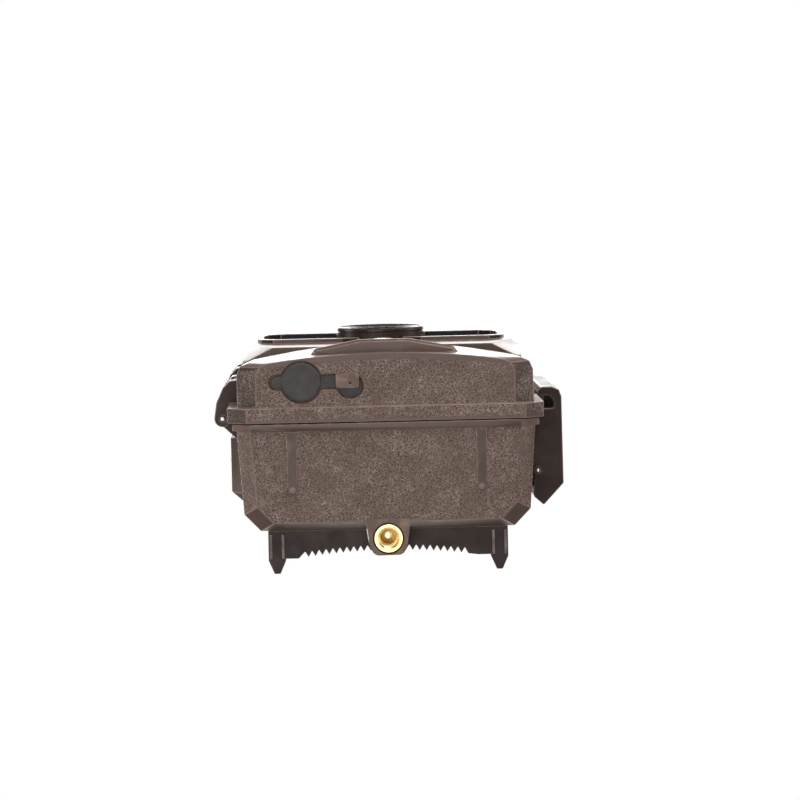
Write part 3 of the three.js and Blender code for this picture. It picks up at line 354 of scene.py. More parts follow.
def screen_glass():
    """Dark glass of the display, slightly smeared."""
    smear = {"noise": (240, 5.0), "from": (0.5, 0.8), "to": (0.05, 0.2)}
    wave = (40, 0.00005, 0.1)
    return glass(
        "screen_glass", (16, 20, 28), (26, 34, 46), 30, smear, wave, Coat_Weight=0.8, Coat_Roughness=0.02
    )


def fresnel_film():
    """Milky sensor film. Its lens rings are modelled, so this adds only their haze."""
    m = Nodes("fresnel_film")
    haze = m.remap(m.noise(240, detail=3.0), 0.3, 0.7)
    color = m.mix(haze, linear(205, 203, 196), linear(226, 224, 218))
    roughness = m.remap(m.noise(800), 0.3, 0.7, 0.28, 0.42)
    return m.done(color, roughness, m.bump(m.noise(900), 0.00003, 0.3), Subsurface_Weight=0.2)


def circuit_board():
    """Solder mask over copper tracks."""
    m = Nodes("circuit_board")
    tracks = m.remap(m.voronoi(420, randomness=0.0), 0.0, 0.09, 1.0, 0.0)
    broken = m.remap(m.noise(120, detail=1.0), 0.48, 0.52)
    copper = m.maths("MULTIPLY", tracks, broken)
    pads = m.maths("MULTIPLY", m.remap(m.voronoi(300, "F1"), 0.12, 0.16, 1.0, 0.0), broken)
    color = m.mix(copper, linear(16, 62, 34), linear(44, 108, 58))
    color = m.mix(pads, color, linear(196, 190, 170))
    return m.done(color, m.remap(m.noise(600), 0.3, 0.7, 0.25, 0.4), m.bump(copper, 0.00004, 0.6))


def cell_wrap():
    """Shrink-wrapped dry cell: dark sleeve with a copper-coloured top band."""
    m = Nodes("cell_wrap")
    split = m.node("ShaderNodeSeparateXYZ")
    m.feed(split.inputs[0], m.place)
    wrinkle = m.noise(180, detail=4.0, vector=m.scaled((1, 1, 0.35)))
    color = m.mix(m.remap(wrinkle, 0.3, 0.7), linear(34, 38, 44), linear(52, 57, 64))
    scuff = m.remap(m.noise(1200, detail=6.0, roughness=0.7), 0.6, 0.8)
    color = m.mix(m.maths("MULTIPLY", scuff, 0.4), color, linear(120, 122, 126))
    return m.done(color, m.remap(wrinkle, 0.3, 0.7, 0.22, 0.4), m.bump(wrinkle, 0.00006, 0.4))


FRONT_EDGE = (ORIGIN.y - 23.3 * MM, 3.0 * MM, 46 * MM)  # middle, fall at the sides, half width
BAND_WIDTH = 2.2 * MM
LIP_AHEAD = 1.1 * MM
LIP_BEHIND = 2.6 * MM

MATERIALS = {
    "case_plastic": bark_plastic(
        "bark_plastic", (96, 74, 64), (103, 81, 71), [(164, 141, 129), (188, 166, 154)]
    ),
    # darker copy of the bark plastic: painted shade on the lower corner facets of the front
    "painted_shade_bark": bark_plastic(
        "painted_shade_bark_plastic", (62, 47, 41), (70, 53, 46), [(134, 114, 104), (172, 151, 141)]
    ),
    # lighter plastic for the rounds of the case: painted highlight
    "case_edge_highlight": satin_plastic("case_edge_highlight", (122, 101, 91), (138, 116, 105), (0.34, 0.46)),
    # lighter plastic for the rounds and bars of the dark parts: painted highlight
    "dark_edge_highlight": satin_plastic("dark_plastic_edge_highlight", (92, 78, 72), (112, 97, 90), (0.3, 0.42)),
    "green_lens": satin_plastic("led_epoxy", (150, 190, 160), (176, 208, 184), (0.08, 0.16)),
    "lamp": satin_plastic("lamp_epoxy", (120, 128, 146), (160, 166, 180), (0.06, 0.14)),
    "copper_band": metal("cell_band", (168, 108, 62), (196, 134, 84), (0.24, 0.36)),
    "label": satin_plastic("card_label", (196, 200, 204), (212, 215, 218), (0.5, 0.62)),
    "mark": satin_plastic("key_mark", (232, 233, 234), (242, 243, 244), (0.45, 0.6)),
    "smooth_case": satin_plastic("smooth_case_plastic", (102, 80, 70), (114, 91, 80), (0.36, 0.5)),
    # darker copy of the smooth case plastic: painted shade on sloped faces, the hinge side and the bottom
    # ribs
    "shade_case": satin_plastic("painted_shade_case_plastic", (82, 64, 56), (94, 75, 66), (0.42, 0.56)),
    "smooth_plastic": satin_plastic("bracket_plastic", (42, 23, 17), (53, 33, 25), (0.44, 0.58)),
    "black_plastic": satin_plastic("black_plastic", (24, 23, 23), (34, 33, 33), (0.42, 0.58)),
    "gloss_black": satin_plastic("lens_ring_plastic", (52, 40, 35), (66, 52, 46), (0.22, 0.34)),
    "grey_button": satin_plastic(
        "button_plastic", (128, 132, 136), (146, 150, 154), (0.4, 0.55), worn_and_lit=(190, 192, 194)
    ),
    "card_plastic": satin_plastic("card_plastic", (28, 42, 66), (38, 54, 80), (0.35, 0.5)),
    "rubber": rubber(),
    "brass": metal("turned_brass", (240, 210, 146), (252, 234, 186), (0.22, 0.36), (0.15, 0.15, 3)),
    "steel": metal("plain_steel", (172, 174, 178), (190, 192, 196), (0.24, 0.34)),
    "nickel": metal("spring_steel", (168, 168, 170), (206, 206, 208), (0.14, 0.28)),
    "gold": metal("contact_gold", (206, 168, 84), (232, 198, 116), (0.16, 0.3)),
    "smoked_acrylic": smoked_acrylic(),
    "clear_glass": coated_glass(),
    "cover_glass": cover_glass(),
    "picture_sky": satin_plastic("picture_sky", (150, 176, 196), (186, 204, 216), (0.2, 0.3)),
    "picture_hill": satin_plastic("picture_hill", (84, 112, 106), (104, 132, 120), (0.2, 0.3)),
    "picture_grass": satin_plastic("picture_grass", (78, 98, 52), (104, 122, 66), (0.2, 0.3)),
    "picture_trunk": satin_plastic("picture_trunk", (56, 46, 38), (78, 64, 52), (0.2, 0.3)),
    "fresnel": fresnel_film(),
    "circuit_board": circuit_board(),
    "screen": screen_glass(),
    "cell_wrap": cell_wrap(),
}


# ---------------------------------------------------------------- mesh helpers

SHARP = math.radians(28)
ROUNDED_FROM = math.radians(25)  # edges flatter than this keep their shape
ROOM = 2.4  # width of face that a round needs, in widths of the round
CLEARANCE = 1.6  # how near a crossing an edge loses its round, in the same measure
TRIES = 12
SAME_SPOT = 0.0001  # millimetres
FLAT = 0.99999  # cosine between faces that count as one plane


def meshed(name, bm, materials, smooth):
    """Turns a bmesh in the row's coordinates into an object."""
    bmesh.ops.recalc_face_normals(bm, faces=bm.faces)
    mesh = bpy.data.meshes.new(name)
    bm.to_mesh(mesh)
    bm.free()
    for key in materials:
        mesh.materials.append(MATERIALS[key])
    mesh.shade_smooth()
    mesh.set_sharp_from_angle(angle=smooth)
    piece = bpy.data.objects.new(name, mesh)
    bpy.context.scene.collection.objects.link(piece)
    return piece


def finished(name, bm, materials, body, slot, replaces=(), smooth=SHARP):
    """Turns a bmesh into a piece that rides on a body."""
    piece = meshed(name, bm, materials, smooth)
    flats = piece.modifiers.new("flat_faces_stay_flat", "WEIGHTED_NORMAL")
    flats.keep_sharp = True
    flats.weight = 100
    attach(piece, body)
    if replaces:
        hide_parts(*replaces)


def look(node, bm, materials, smooth=SHARP):
    """Finishes a bmesh as the look of one CAD node."""
    finished(node + "_look", bm, materials, BODY_OF[node], SLOT_OF[node], [node], smooth)


def node_bmesh(node):
    """A CAD node's shape as a clean bmesh, flat faces merged."""
    bm = bmesh.new()
    bm.from_mesh(NODES[node].data)
    bmesh.ops.remove_doubles(bm, verts=bm.verts, dist=0.004 * MM)
    bmesh.ops.dissolve_degenerate(bm, edges=bm.edges, dist=0.003 * MM)
    bmesh.ops.dissolve_limit(
        bm, angle_limit=math.radians(0.6), verts=bm.verts, edges=bm.edges, use_dissolve_boundaries=False
    )
    return bm


def reach(face, edge):
    """How far a face runs away from one of its edges."""
    along = (edge.verts[1].co - edge.verts[0].co).normalized()
    across = face.normal.cross(along)
    foot = edge.verts[0].co
    return max(abs((vertex.co - foot).dot(across)) for vertex in face.verts)


def flat_regions(bm):
    """Connected faces that share a plane and a material."""
    seen = set()
    for start in bm.faces:
        if start in seen:
            continue
        seen.add(start)
        region, queue = [start], [start]
        while queue:
            face = queue.pop()
            for edge in face.edges:
                for other in edge.link_faces:
                    if other in seen or other.material_index != start.material_index:
                        continue
                    if other.normal.dot(start.normal) > FLAT:
                        seen.add(other)
                        region.append(other)
                        queue.append(other)
        if len(region) > 1 or len(start.verts) > 4:
            yield region


def within(spot, segments):
    """Even-odd test of a flat point against outline segments."""
    odd = False
    for a, b in segments:
        if (a.y > spot.y) == (b.y > spot.y):
            continue
        if spot.x < a.x + (spot.y - a.y) * (b.x - a.x) / (b.y - a.y):
            odd = not odd
    return odd


def flattened(region):
    """A flat region's outline: its corners, their flat places in mm, their links, and the plane."""
    inside = set(region)
    edges = [edge for face in region for edge in face.edges]
    rim = [edge for edge in edges if sum(face in inside for face in edge.link_faces) == 1]
    corners = list(dict.fromkeys(vertex for edge in rim for vertex in edge.verts))
    index = {vertex: i for i, vertex in enumerate(corners)}
    normal = max(region, key=lambda face: face.calc_area()).normal.copy()
    across = normal.orthogonal().normalized()
    up = normal.cross(across)
    origin = corners[0].co.copy()
    flat = [Vector(((v.co - origin).dot(across), (v.co - origin).dot(up))) / MM for v in corners]
    links = [(index[edge.verts[0]], index[edge.verts[1]]) for edge in rim]
    return corners, flat, links, (origin, across, up)


def triangulated(flat, links):
    """The flat outline cut into triangles, and the places where it crosses or touches itself."""
    spots, edges, faces, origins, sources, _ = delaunay_2d_cdt(flat, links, [], 0, SAME_SPOT)
    pieces = Counter(link for known in sources for link in known if link < len(links))
    clashes = [spot for spot, known in zip(spots, origins) if len(known) != 1]
    for (a, b), known in zip(edges, sources):
        for link in known:
            if link < len(links) and pieces[link] > 1:
                clashes += [spots[i] for i in (a, b) if not set(origins[i]) & set(links[link])]
    return spots, faces, origins, clashes


def crossings(bm):
    """Where the outlines of flat regions cross or touch themselves."""
    bm.normal_update()
    found = []
    squares = ([face] for face in bm.faces if len(face.verts) == 4)
    for region in [*flat_regions(bm), *squares]:
        _, flat, links, (origin, across, up) = flattened(region)
        found += [origin + (across * spot.x + up * spot.y) * MM for spot in triangulated(flat, links)[3]]
    return found


def refill(bm):
    """Fills every flat region again from its outline, so that holes in it stay open."""
    bm.normal_update()
    for region in list(flat_regions(bm)):
        corners, flat, links, _ = flattened(region)
        segments = [(flat[a], flat[b]) for a, b in links]
        spots, faces, origins, clashes = triangulated(flat, links)
        if clashes:
            continue
        material = region[0].material_index
        edges = {edge for face in region for edge in face.edges}
        bmesh.ops.delete(bm, geom=region, context="FACES_ONLY")
        rim = {bm.edges.get((corners[a], corners[b])) for a, b in links}
        inner = [edge for edge in edges - rim if edge.is_valid and not edge.link_faces]
        bmesh.ops.delete(bm, geom=inner, context="EDGES")
        made = [corners[sources[0]] for sources in origins]
        for face in faces:
            ring = [made[i] for i in face]
            centre = (spots[face[0]] + spots[face[1]] + spots[face[2]]) / 3
            if within(centre, segments) and len(set(ring)) > 2 and bm.faces.get(ring) is None:
                bm.faces.new(ring).material_index = material
    bmesh.ops.delete(bm, geom=[vertex for vertex in bm.verts if not vertex.link_faces], context="VERTS")
    bm.normal_update()


def gap(point, edge):
    """Distance from a point to an edge."""
    start, end = (vertex.co for vertex in edge.verts)
    along = end - start
    share = max(0, min(1, (point - start).dot(along) / along.length_squared))
    return (start + along * share - point).length


def bevelled(bm, width, segments, picked):
    """Rounds the edges with these numbers and returns the new faces."""
    bm.edges.ensure_lookup_table()
    made = bmesh.ops.bevel(
        bm, geom=[bm.edges[i] for i in picked], offset=width, offset_type="OFFSET", segments=segments,
        profile=0.5, affect="EDGES", clamp_overlap=False, miter_outer="ARC", loop_slide=False
    )
    return made["faces"]


def with_room(bm, width, segments, picked):
    """Tries the rounds on a copy, and leaves out edges whose rounds run into others."""
    for _ in range(TRIES):
        trial = bm.copy()
        bevelled(trial, width, segments, picked)
        spots = crossings(trial)
        trial.free()
        if not spots:
            break
        near = {i: min(gap(spot, bm.edges[i]) for spot in spots) for i in picked}
        kept = [i for i in picked if near[i] > CLEARANCE * width]
        if len(kept) == len(picked):
            break
        picked = kept
    return picked


def soften(bm, width_mm, highlight_material=None, segments=2):
    """Rounds the edges that have room for it, and gives the rounds their own material: a lighter one, as a
    painted highlight.
    """
    width = width_mm * MM
    bm.normal_update()
    bm.edges.index_update()
    bm.edges.ensure_lookup_table()
    picked = []
    for edge in bm.edges:
        if len(edge.link_faces) != 2 or edge.calc_face_angle(0) < ROUNDED_FROM:
            continue
        if min(reach(face, edge) for face in edge.link_faces) > ROOM * width:
            picked.append(edge.index)
    picked = with_room(bm, width, segments, picked)
    if not picked:
        return
    # the rounds take the lighter material where one is given: painted highlight
    for face in bevelled(bm, width, segments, picked):
        if highlight_material is not None:
            face.material_index = highlight_material
    refill(bm)


def painted(bm, paint):
    """Gives each face the material number that paint(centre in mm, normal, area in mm2) says."""
    for face in bm.faces:
        centre = case_point(face.calc_center_median())
        face.material_index = paint(centre, face.normal, face.calc_area() / MM**2)


def refined(node, materials, width=0.25, paint=None, highlight_material=None):
    """A node's own shape with rounded edges."""
    bm = node_bmesh(node)
    if paint:
        painted(bm, paint)
    if width:
        soften(bm, width, highlight_material)
    look(node, bm, materials)


AXES = {
    "y": Matrix(((1, 0, 0), (0, 0, 1), (0, 1, 0))),
    "z": Matrix.Identity(3),
}


def on_circle(radius, angle, along=0.0):
    """A point at this angle round the z axis."""
    return Vector((radius * math.cos(angle), radius * math.sin(angle), along))


def lathe(bm, profile, at, axis="z", sides=48, material=0):
    """Turns (radius, distance) points in millimetres about an axis through a row-frame point.
    A third number in a point is the material of the band that ends there. Open ends are capped."""
    turn = AXES[axis] * MM
    rings = []
    for radius, along, *_ in profile:
        angles = [2 * math.pi * i / sides for i in range(sides if radius > 0 else 1)]
        rings.append([bm.verts.new(at + turn @ on_circle(radius, angle, along)) for angle in angles])
    for low, high, point in zip(rings, rings[1:], profile[1:]):
        for i in range(sides):
            a, b = i, (i + 1) % sides
            corners = [low[a % len(low)], low[b % len(low)], high[b % len(high)], high[a % len(high)]]
            unique = list(dict.fromkeys(corners))
            if len(unique) > 2:
                bm.faces.new(unique).material_index = point[2] if len(point) > 2 else material
    if profile[0] != profile[-1]:
        for ring in (rings[0][::-1], rings[-1]):
            if len(ring) > 2:
                bm.faces.new(ring).material_index = material


def turned_ring(bm, profile, at, axis="z", sides=48, material=0):
    """A ring: the profile goes all the way round."""
    before = set(bm.verts)
    lathe(bm, [*profile, profile[0]], at, axis, sides, material)
    fresh = [vertex for vertex in bm.verts if vertex not in before]
    bmesh.ops.remove_doubles(bm, verts=fresh, dist=0.001 * MM)


def bridge(bm, low, high, material=0):
    """A band of faces between two rings with the same number of corners."""
    for i in range(len(low)):
        j = (i + 1) % len(low)
        bm.faces.new([low[i], low[j], high[j], high[i]]).material_index = material


def closed(bm, rings, material=0):
    """A solid from a row of rings, capped at both ends."""
    for low, high in zip(rings, rings[1:]):
        bridge(bm, low, high, material)
    for ring in (rings[0][::-1], rings[-1]):
        bm.faces.new(ring).material_index = material


def sweep(bm, points, radius, sides=8):
    """A round wire along row-frame points. The radius is in millimetres."""
    rings = []
    side = None
    for before, point, after in zip([points[0], *points], points, [*points[1:], points[-1]]):
        ahead = (after - before).normalized()
        side = side or ahead.orthogonal()
        side = (side - ahead * side.dot(ahead)).normalized()
        frame_here = Matrix((side, ahead.cross(side), ahead)).transposed() * MM
        angles = [2 * math.pi * i / sides for i in range(sides)]
        rings.append([bm.verts.new(point + frame_here @ on_circle(radius, angle)) for angle in angles])
    closed(bm, rings)


def plate(bm, outline, low, high, axis="z", material=0):
    """An outline of row-frame points in millimetres, raised from low to high along y or z."""
    rings = []
    for level in (low, high):
        spots = [(a, b, level) if axis == "z" else (a, level, b) for a, b in outline]
        rings.append([bm.verts.new(place(*spot)) for spot in spots])
    closed(bm, rings, material)


def square(x, z):
    """The outline of a rectangle between two pairs of limits."""
    return [(x[0], z[0]), (x[1], z[0]), (x[1], z[1]), (x[0], z[1])]


def block(bm, x, y, z, material=0):
    """A box between millimetre limits from the case's middle and seam."""
    plate(bm, square(x, y), *z, material=material)


def rounded(x, y, radius, steps=6):
    """Outline of a rectangle with round corners, in millimetres."""
    right, left = x[1] - radius, x[0] + radius
    top, bottom = y[1] - radius, y[0] + radius
    points = []
    for turn, (centre_x, centre_y) in enumerate([(right, top), (left, top), (left, bottom), (right, bottom)]):
        for i in range(steps + 1):
            angle = math.pi / 2 * (turn + i / steps)
            points.append((centre_x + radius * math.cos(angle), centre_y + radius * math.sin(angle)))
    return points


def helix(at, first, last, low, high, turns, steps):
    """Points along an upright coil, from the first radius and low to the last radius and high."""
    points = []
    count = int(turns * steps)
    for i in range(count + 1):
        share = i / count
        radius = first + (last - first) * share
        along = low + (high - low) * share
        points.append(at + on_circle(radius, 2 * math.pi * turns * share, along) * MM)
    return points


def combined(base, tool, operation="DIFFERENCE"):
    """A boolean of two bmeshes, which are used up."""
    objects = []
    for bm in (base, tool):
        bmesh.ops.recalc_face_normals(bm, faces=bm.faces)
        mesh = bpy.data.meshes.new("boolean")
        bm.to_mesh(mesh)
        bm.free()
        made = bpy.data.objects.new("boolean", mesh)
        bpy.context.scene.collection.objects.link(made)
        objects.append(made)
    modifier = objects[0].modifiers.new("cut", "BOOLEAN")
    modifier.operation = operation
    modifier.solver = "EXACT"
    modifier.object = objects[1]
    bpy.context.view_layer.update()
    result = bmesh.new()
    result.from_object(objects[0], bpy.context.evaluated_depsgraph_get())
    for made in objects:
        mesh = made.data
        bpy.data.objects.remove(made)
        bpy.data.meshes.remove(mesh)
    return result


# ---------------------------------------------------------------- the two half shells

# Indices 2, 5, 6 and 7 are painted shade: darker copies and dark colours for slopes, the hinge side,
# knuckles, window recesses and lower corners; index 4 is a painted highlight on rounds.
BARK, SMOOTH, SHADE, INNER, EDGE_HIGHLIGHT, KNUCKLE_SHADE, RECESS_SHADE, PAINTED_SHADE_BARK = range(8)
SHELL_MATERIALS = [
    "case_plastic", "smooth_case", "shade_case", "smooth_plastic",
    "case_edge_highlight", "smooth_plastic", "black_plastic", "painted_shade_bark",
]
HEIGHT = limits("rear_shell")[1].z
WALL = {"side": 47.2, "end": 2.8, "rear": 34.5, "front": 20}  # beyond these lie only outer faces
HINGE_SIDE = {"pad": -50.9, "knuckle": -51.9, "front_knuckle": -50.3}
WINDOWS = {"front": -20.5, "z": (73, 111), "side": 45}
RETAINER = {"x": (-16.7, -7.8), "y": (-17.0, -11.5)}
REAR_FLANGE = {"behind": 2.7, "beyond": 44}
FRONT_FLANGE = {"behind": -5.5, "beyond": 50.5}
BOSS = {"behind": 37, "half": 10}
HINGE_SPAN = {"rear": 9, "front": -14}  # how far the knuckles reach to the back and to the front
CORNER = 43  # the lower corner facets of the front lie beyond this
SMALL = {"rear": 60, "front": 8}  # faces up to this many square millimetres are smooth
TURNED_IN = -0.6
SLOPED = 0.2
ALONG_AN_AXIS = {"rear": 0.985, "front": 0.998}


def between(value, bounds):
    return bounds[0] < value < bounds[1]


def steepest(normal):
    return max(abs(component) for component in normal)


def faces_inside(at, normal, depth):
    """True for a shell's inner faces."""
    ends = (WALL["end"], HEIGHT - WALL["end"])
    if abs(at.x) > WALL["side"] or abs(at.y) > depth or not between(at.z, ends):
        return False
    offset = Vector((at.x, at.y, at.z - HEIGHT / 2))
    return any(math.copysign(1, offset[i]) * normal[i] < TURNED_IN for i in range(3))


def paint_rear(at, normal, area):
    """Textured panels, smooth flange, sloped edges and the hinge side darker as painted shade, knuckles dark
    as painted shade, plain inside.
    """
    if faces_inside(at, normal, WALL["rear"]):
        return INNER
    # hinge knuckles in the dark bracket plastic: painted shade
    if at.y < HINGE_SPAN["rear"] and at.x < HINGE_SIDE["knuckle"]:
        return KNUCKLE_SHADE
    # the hinge side takes the darker copy: painted shade
    if at.x < HINGE_SIDE["pad"]:
        return SHADE
    on_flange = at.y < REAR_FLANGE["behind"] and abs(at.x) > REAR_FLANGE["beyond"]
    on_boss = at.y > BOSS["behind"] and abs(at.x) < BOSS["half"]
    if on_flange or on_boss:
        return SMOOTH
    # faces sloped both downward and to the front or back take the darker copy: painted shade
    if steepest(normal) < ALONG_AN_AXIS["rear"]:
        return SHADE if abs(normal.z) > SLOPED and abs(normal.y) > SLOPED else BARK
    return BARK if area > SMALL["rear"] else SMOOTH


def paint_front(at, normal, area):
    """Textured sides and bottom, lower corner facets darker as painted shade, window recesses and knuckles
    dark as painted shade, plain inside.
    """
    if faces_inside(at, normal, WALL["front"]):
        return INNER
    # hinge knuckles in the dark bracket plastic: painted shade
    if at.y > HINGE_SPAN["front"] and at.x < HINGE_SIDE["front_knuckle"]:
        return KNUCKLE_SHADE
    # the walls of the window recesses in black plastic: painted shade in the recess
    ahead = at.y < WINDOWS["front"] and normal.y > -0.4
    if ahead and between(at.z, WINDOWS["z"]) and abs(at.x) < WINDOWS["side"]:
        return RECESS_SHADE
    if at.y > FRONT_FLANGE["behind"] and abs(at.x) > FRONT_FLANGE["beyond"]:
        return SMOOTH
    if at.z < 1 and between(at.x, RETAINER["x"]) and between(at.y, RETAINER["y"]):
        return SMOOTH
    # the lower corner facets take the darker bark: painted shade
    if abs(at.x) > CORNER and normal.z < -0.5 and steepest(normal) < ALONG_AN_AXIS["front"]:
        return PAINTED_SHADE_BARK
    return BARK if area > SMALL["front"] else SMOOTH


RIB = {"x": 31.9, "start": 2.6, "end": 24.6, "wide": 1.85, "narrow": 1.72, "tip": 1.6, "levels": (-0.02, 0.7)}
KNOB = {"radius": 1.15, "rise": 0.28, "inset": 2.1}


def bottom_rib(side, name):
    """A smooth tapering bar under the rear half, darker as painted shade, with a shallow dome where it ends,
    lighter as a painted highlight.
    """
    bm = bmesh.new()
    x = side * RIB["x"]
    wide, narrow = RIB["wide"], RIB["narrow"]
    shoulder = RIB["end"] - RIB["tip"]
    outline = [(x - wide, RIB["start"]), (x + wide, RIB["start"]), (x + narrow, shoulder)]
    arc = (0.5, 1.1, 1.57, 2.04, 2.64)
    outline += [(x + narrow * math.cos(t), shoulder + RIB["tip"] * math.sin(t)) for t in arc]
    outline.append((x - narrow, shoulder))
    plate(bm, outline, *RIB["levels"])
    soften(bm, 0.3, 1, segments=3)
    radius, rise = KNOB["radius"], KNOB["rise"]
    steps = 6
    angles = [math.pi / 2 * (steps - i) / steps for i in range(1, steps + 1)]
    dome = [(radius * math.cos(angle), -rise * math.sin(angle)) for angle in angles]
    knob = place(x, RIB["end"] - KNOB["inset"], 0.0)
    # the dome and the rounds in the lighter edge material: painted highlight
    lathe(bm, [(0, -rise), *dome, (radius, 0.5), (0, 0.5)], knob, "z", 24, 1)
    finished(name, bm, ["shade_case", "case_edge_highlight"], "rear_half", "case_plastic")


# the rounds of both shells take the lighter edge material: painted highlight
refined("rear_shell", SHELL_MATERIALS, 0.28, paint_rear, EDGE_HIGHLIGHT)
refined("front_shell", SHELL_MATERIALS, 0.28, paint_front, EDGE_HIGHLIGHT)
bottom_rib(-1, "bottom_rib_left")
bottom_rib(1, "bottom_rib_right")


# ---------------------------------------------------------------- metal parts of the case

THREAD = {"bore": 2.75, "mouth": 3.75, "pitch": 1.27, "body": 4.3}


def tripod_insert():
    """Brass thread insert: chamfered flange, plain body and a cut quarter-inch thread."""
    size = size_of("tripod_insert")
    at = foot_of("tripod_insert")
    flange, length = size.y / 2, size.z
    bore, mouth, body = THREAD["bore"], THREAD["mouth"], THREAD["body"]
    profile = [
        (0, length - 5.4), (bore - 1.5, length - 5.2), (bore - 0.5, length - 4.9), (bore, length - 4.4),
        (bore, 1.3), (mouth - 0.25, 0.45), (mouth, 0.28), (flange - 0.95, 0.28), (flange - 0.8, 0.02),
        (flange - 0.3, 0.02), (flange, 0.3), (flange, 0.95), (body, 1.1), (body, length - 0.4),
        (body - 0.3, length), (0, length),
    ]
    bm = bmesh.new()
    lathe(bm, profile, at, "z", 72)
    crest = bore + 0.1
    turns = (length - 6.1) / THREAD["pitch"]
    sweep(bm, helix(at, crest, crest, 1.5, length - 4.6, turns, 36), 0.3, 6)
    look("tripod_insert", bm, ["brass"], math.radians(24))


def pin(node):
    """A turned pin with slightly domed ends."""
    size = size_of(node)
    radius, length = size.x / 2, size.z
    dome = [(0, 0), (radius * 0.6, 0.03), (radius * 0.92, 0.14), (radius, 0.3)]
    profile = [(0, -0.02), *dome[1:], *[(r, length - along) for r, along in reversed(dome)]]
    bm = bmesh.new()
    lathe(bm, profile, foot_of(node), "z", 40)
    look(node, bm, ["nickel"])


def screw(node, facing):
    """A pan head screw with a cross recess. facing is 1 where the head looks along +Y, or -1."""
    centre, size = middle(node), size_of(node)
    at = Vector((centre.x, span(node, 1)[1 if facing > 0 else 0], centre.z))
    head, length = size.x / 2, size.y
    thread = head * 0.42
    profile = [
        (0, 0), (head * 0.5, 0.05), (head * 0.85, 0.3), (head, 0.75), (head, 1.4), (thread, 1.4),
        (thread, length - 1), (thread * 0.2, length), (0, length),
    ]
    bm = bmesh.new()
    lathe(bm, [(radius, -facing * along) for radius, along in profile], at, "y", 40)
    x, y, z = case_point(at)
    arm, half = head * 0.55, head * 0.14
    corner = [(half, arm), (-half, arm), (-half, half)]
    cross = []
    for _ in range(4):
        cross += corner
        corner = [(-b, a) for a, b in corner]
    tool = bmesh.new()
    depth = sorted((y - facing * 0.75, y + facing))
    plate(tool, [(x + a, z + b) for a, b in cross], *depth, axis="y")
    look(node, combined(bm, tool), ["steel"])


tripod_insert()
for node in ("hinge_pin_1", "hinge_pin_2", "latch_pin"):
    pin(node)
for number in range(1, 5):
    screw(f"tray_screw_{number}", -1)
    screw(f"panel_screw_{number}", 1)


# ---------------------------------------------------------------- latch and tree bracket

RIDGES = {"count": 7, "first": 4.5, "pitch": 2.4, "foot": 0.75, "crest": 0.25, "inset": 8}


def latch():
    """The lever with finger ribs across its outer face, its rounds lighter as a painted highlight."""
    bm = node_bmesh("latch_lever")
    soften(bm, 0.35, 1, segments=3)
    low, high = limits("latch_lever")
    under, over = high.x - 0.3, high.x + 0.25
    for i in range(RIDGES["count"]):
        y = RIDGES["first"] + RIDGES["pitch"] * i
        ridge = [(under, y - RIDGES["foot"]), (over, y - RIDGES["crest"])]
        ridge += [(over, y + RIDGES["crest"]), (under, y + RIDGES["foot"])]
        plate(bm, ridge, low.z + RIDGES["inset"], high.z - RIDGES["inset"])
    look("latch_lever", bm, ["smooth_plastic", "dark_edge_highlight"])


def tree_bracket():
    """The plate that bites into the tree, with stiffening bars along both sides of its feet, the bars and
    rounds lighter as a painted highlight.
    """
    bm = node_bmesh("tree_bracket")
    soften(bm, 0.25, 1)
    low, high = limits("tree_bracket")
    half = 0.42
    for x in (0.9 - high.x, 5.0 - high.x, high.x - 0.9, high.x - 5.0):
        for level, up in ((low.z, -1), (high.z, 1)):
            bar = sorted((level - 0.2 * up, level + 0.45 * up))
            plate(bm, rounded((x - half, x + half), (low.y + 1.2, high.y - 5.2), 0.4, 3), *bar, material=1)
    look("tree_bracket", bm, ["smooth_plastic", "dark_edge_highlight"])


latch()
tree_bracket()


# ---------------------------------------------------------------- rubber cover of the power inlet

COVER = {
    "disc_x": -28.2, "face": 0.3, "back": 1.9, "plug": 3.6, "tab": ((-38.3, -33.5), (-16.1, -11.7)),
    "strap_x": (-23.0, -14.5), "strap_y": (-16.0, -11.8), "strap_z": (1.1, 1.9),
    "anchor": ((-15.7, -7.7), (-16.0, -8.5)), "bend": (-18.9, -19.9), "bend_z": 1.5, "first_cut": -20.8,
}


def cover_disc(at, radius):
    """The round flap with a raised rim, and the plug that fills the inlet."""
    face, back, plug = COVER["face"], COVER["back"], COVER["plug"]
    bm = bmesh.new()
    profile = [(0, face + 0.12), (radius - 1.4, face + 0.1), (radius - 1.15, face), (radius - 0.5, face)]
    profile += [(radius - 0.12, face + 0.18), (radius, face + 0.5), (radius, back), (plug, back), (plug, 3.4)]
    profile += [(plug + 0.25, 3.7), (plug - 0.1, 4.3), (plug - 0.5, 4.75), (0, 4.8)]
    lathe(bm, profile, at, "z", 72)
    return bm


def cover_strap():
    """The strip between flap and anchor, cut across often enough to bend smoothly."""
    (start, end), (front, back) = COVER["strap_x"], COVER["strap_y"]
    steps = 24
    across = [start + (end - start) * i / steps for i in range(steps + 1)]
    bm = bmesh.new()
    plate(bm, [*((x, front) for x in across), *((x, back) for x in reversed(across))], *COVER["strap_z"])
    return bm


def cover_end(outline, low, width):
    """The pull tab or the anchor: a small plate with soft edges."""
    bm = bmesh.new()
    plate(bm, outline, low, COVER["back"])
    soften(bm, width, segments=3)
    return bm


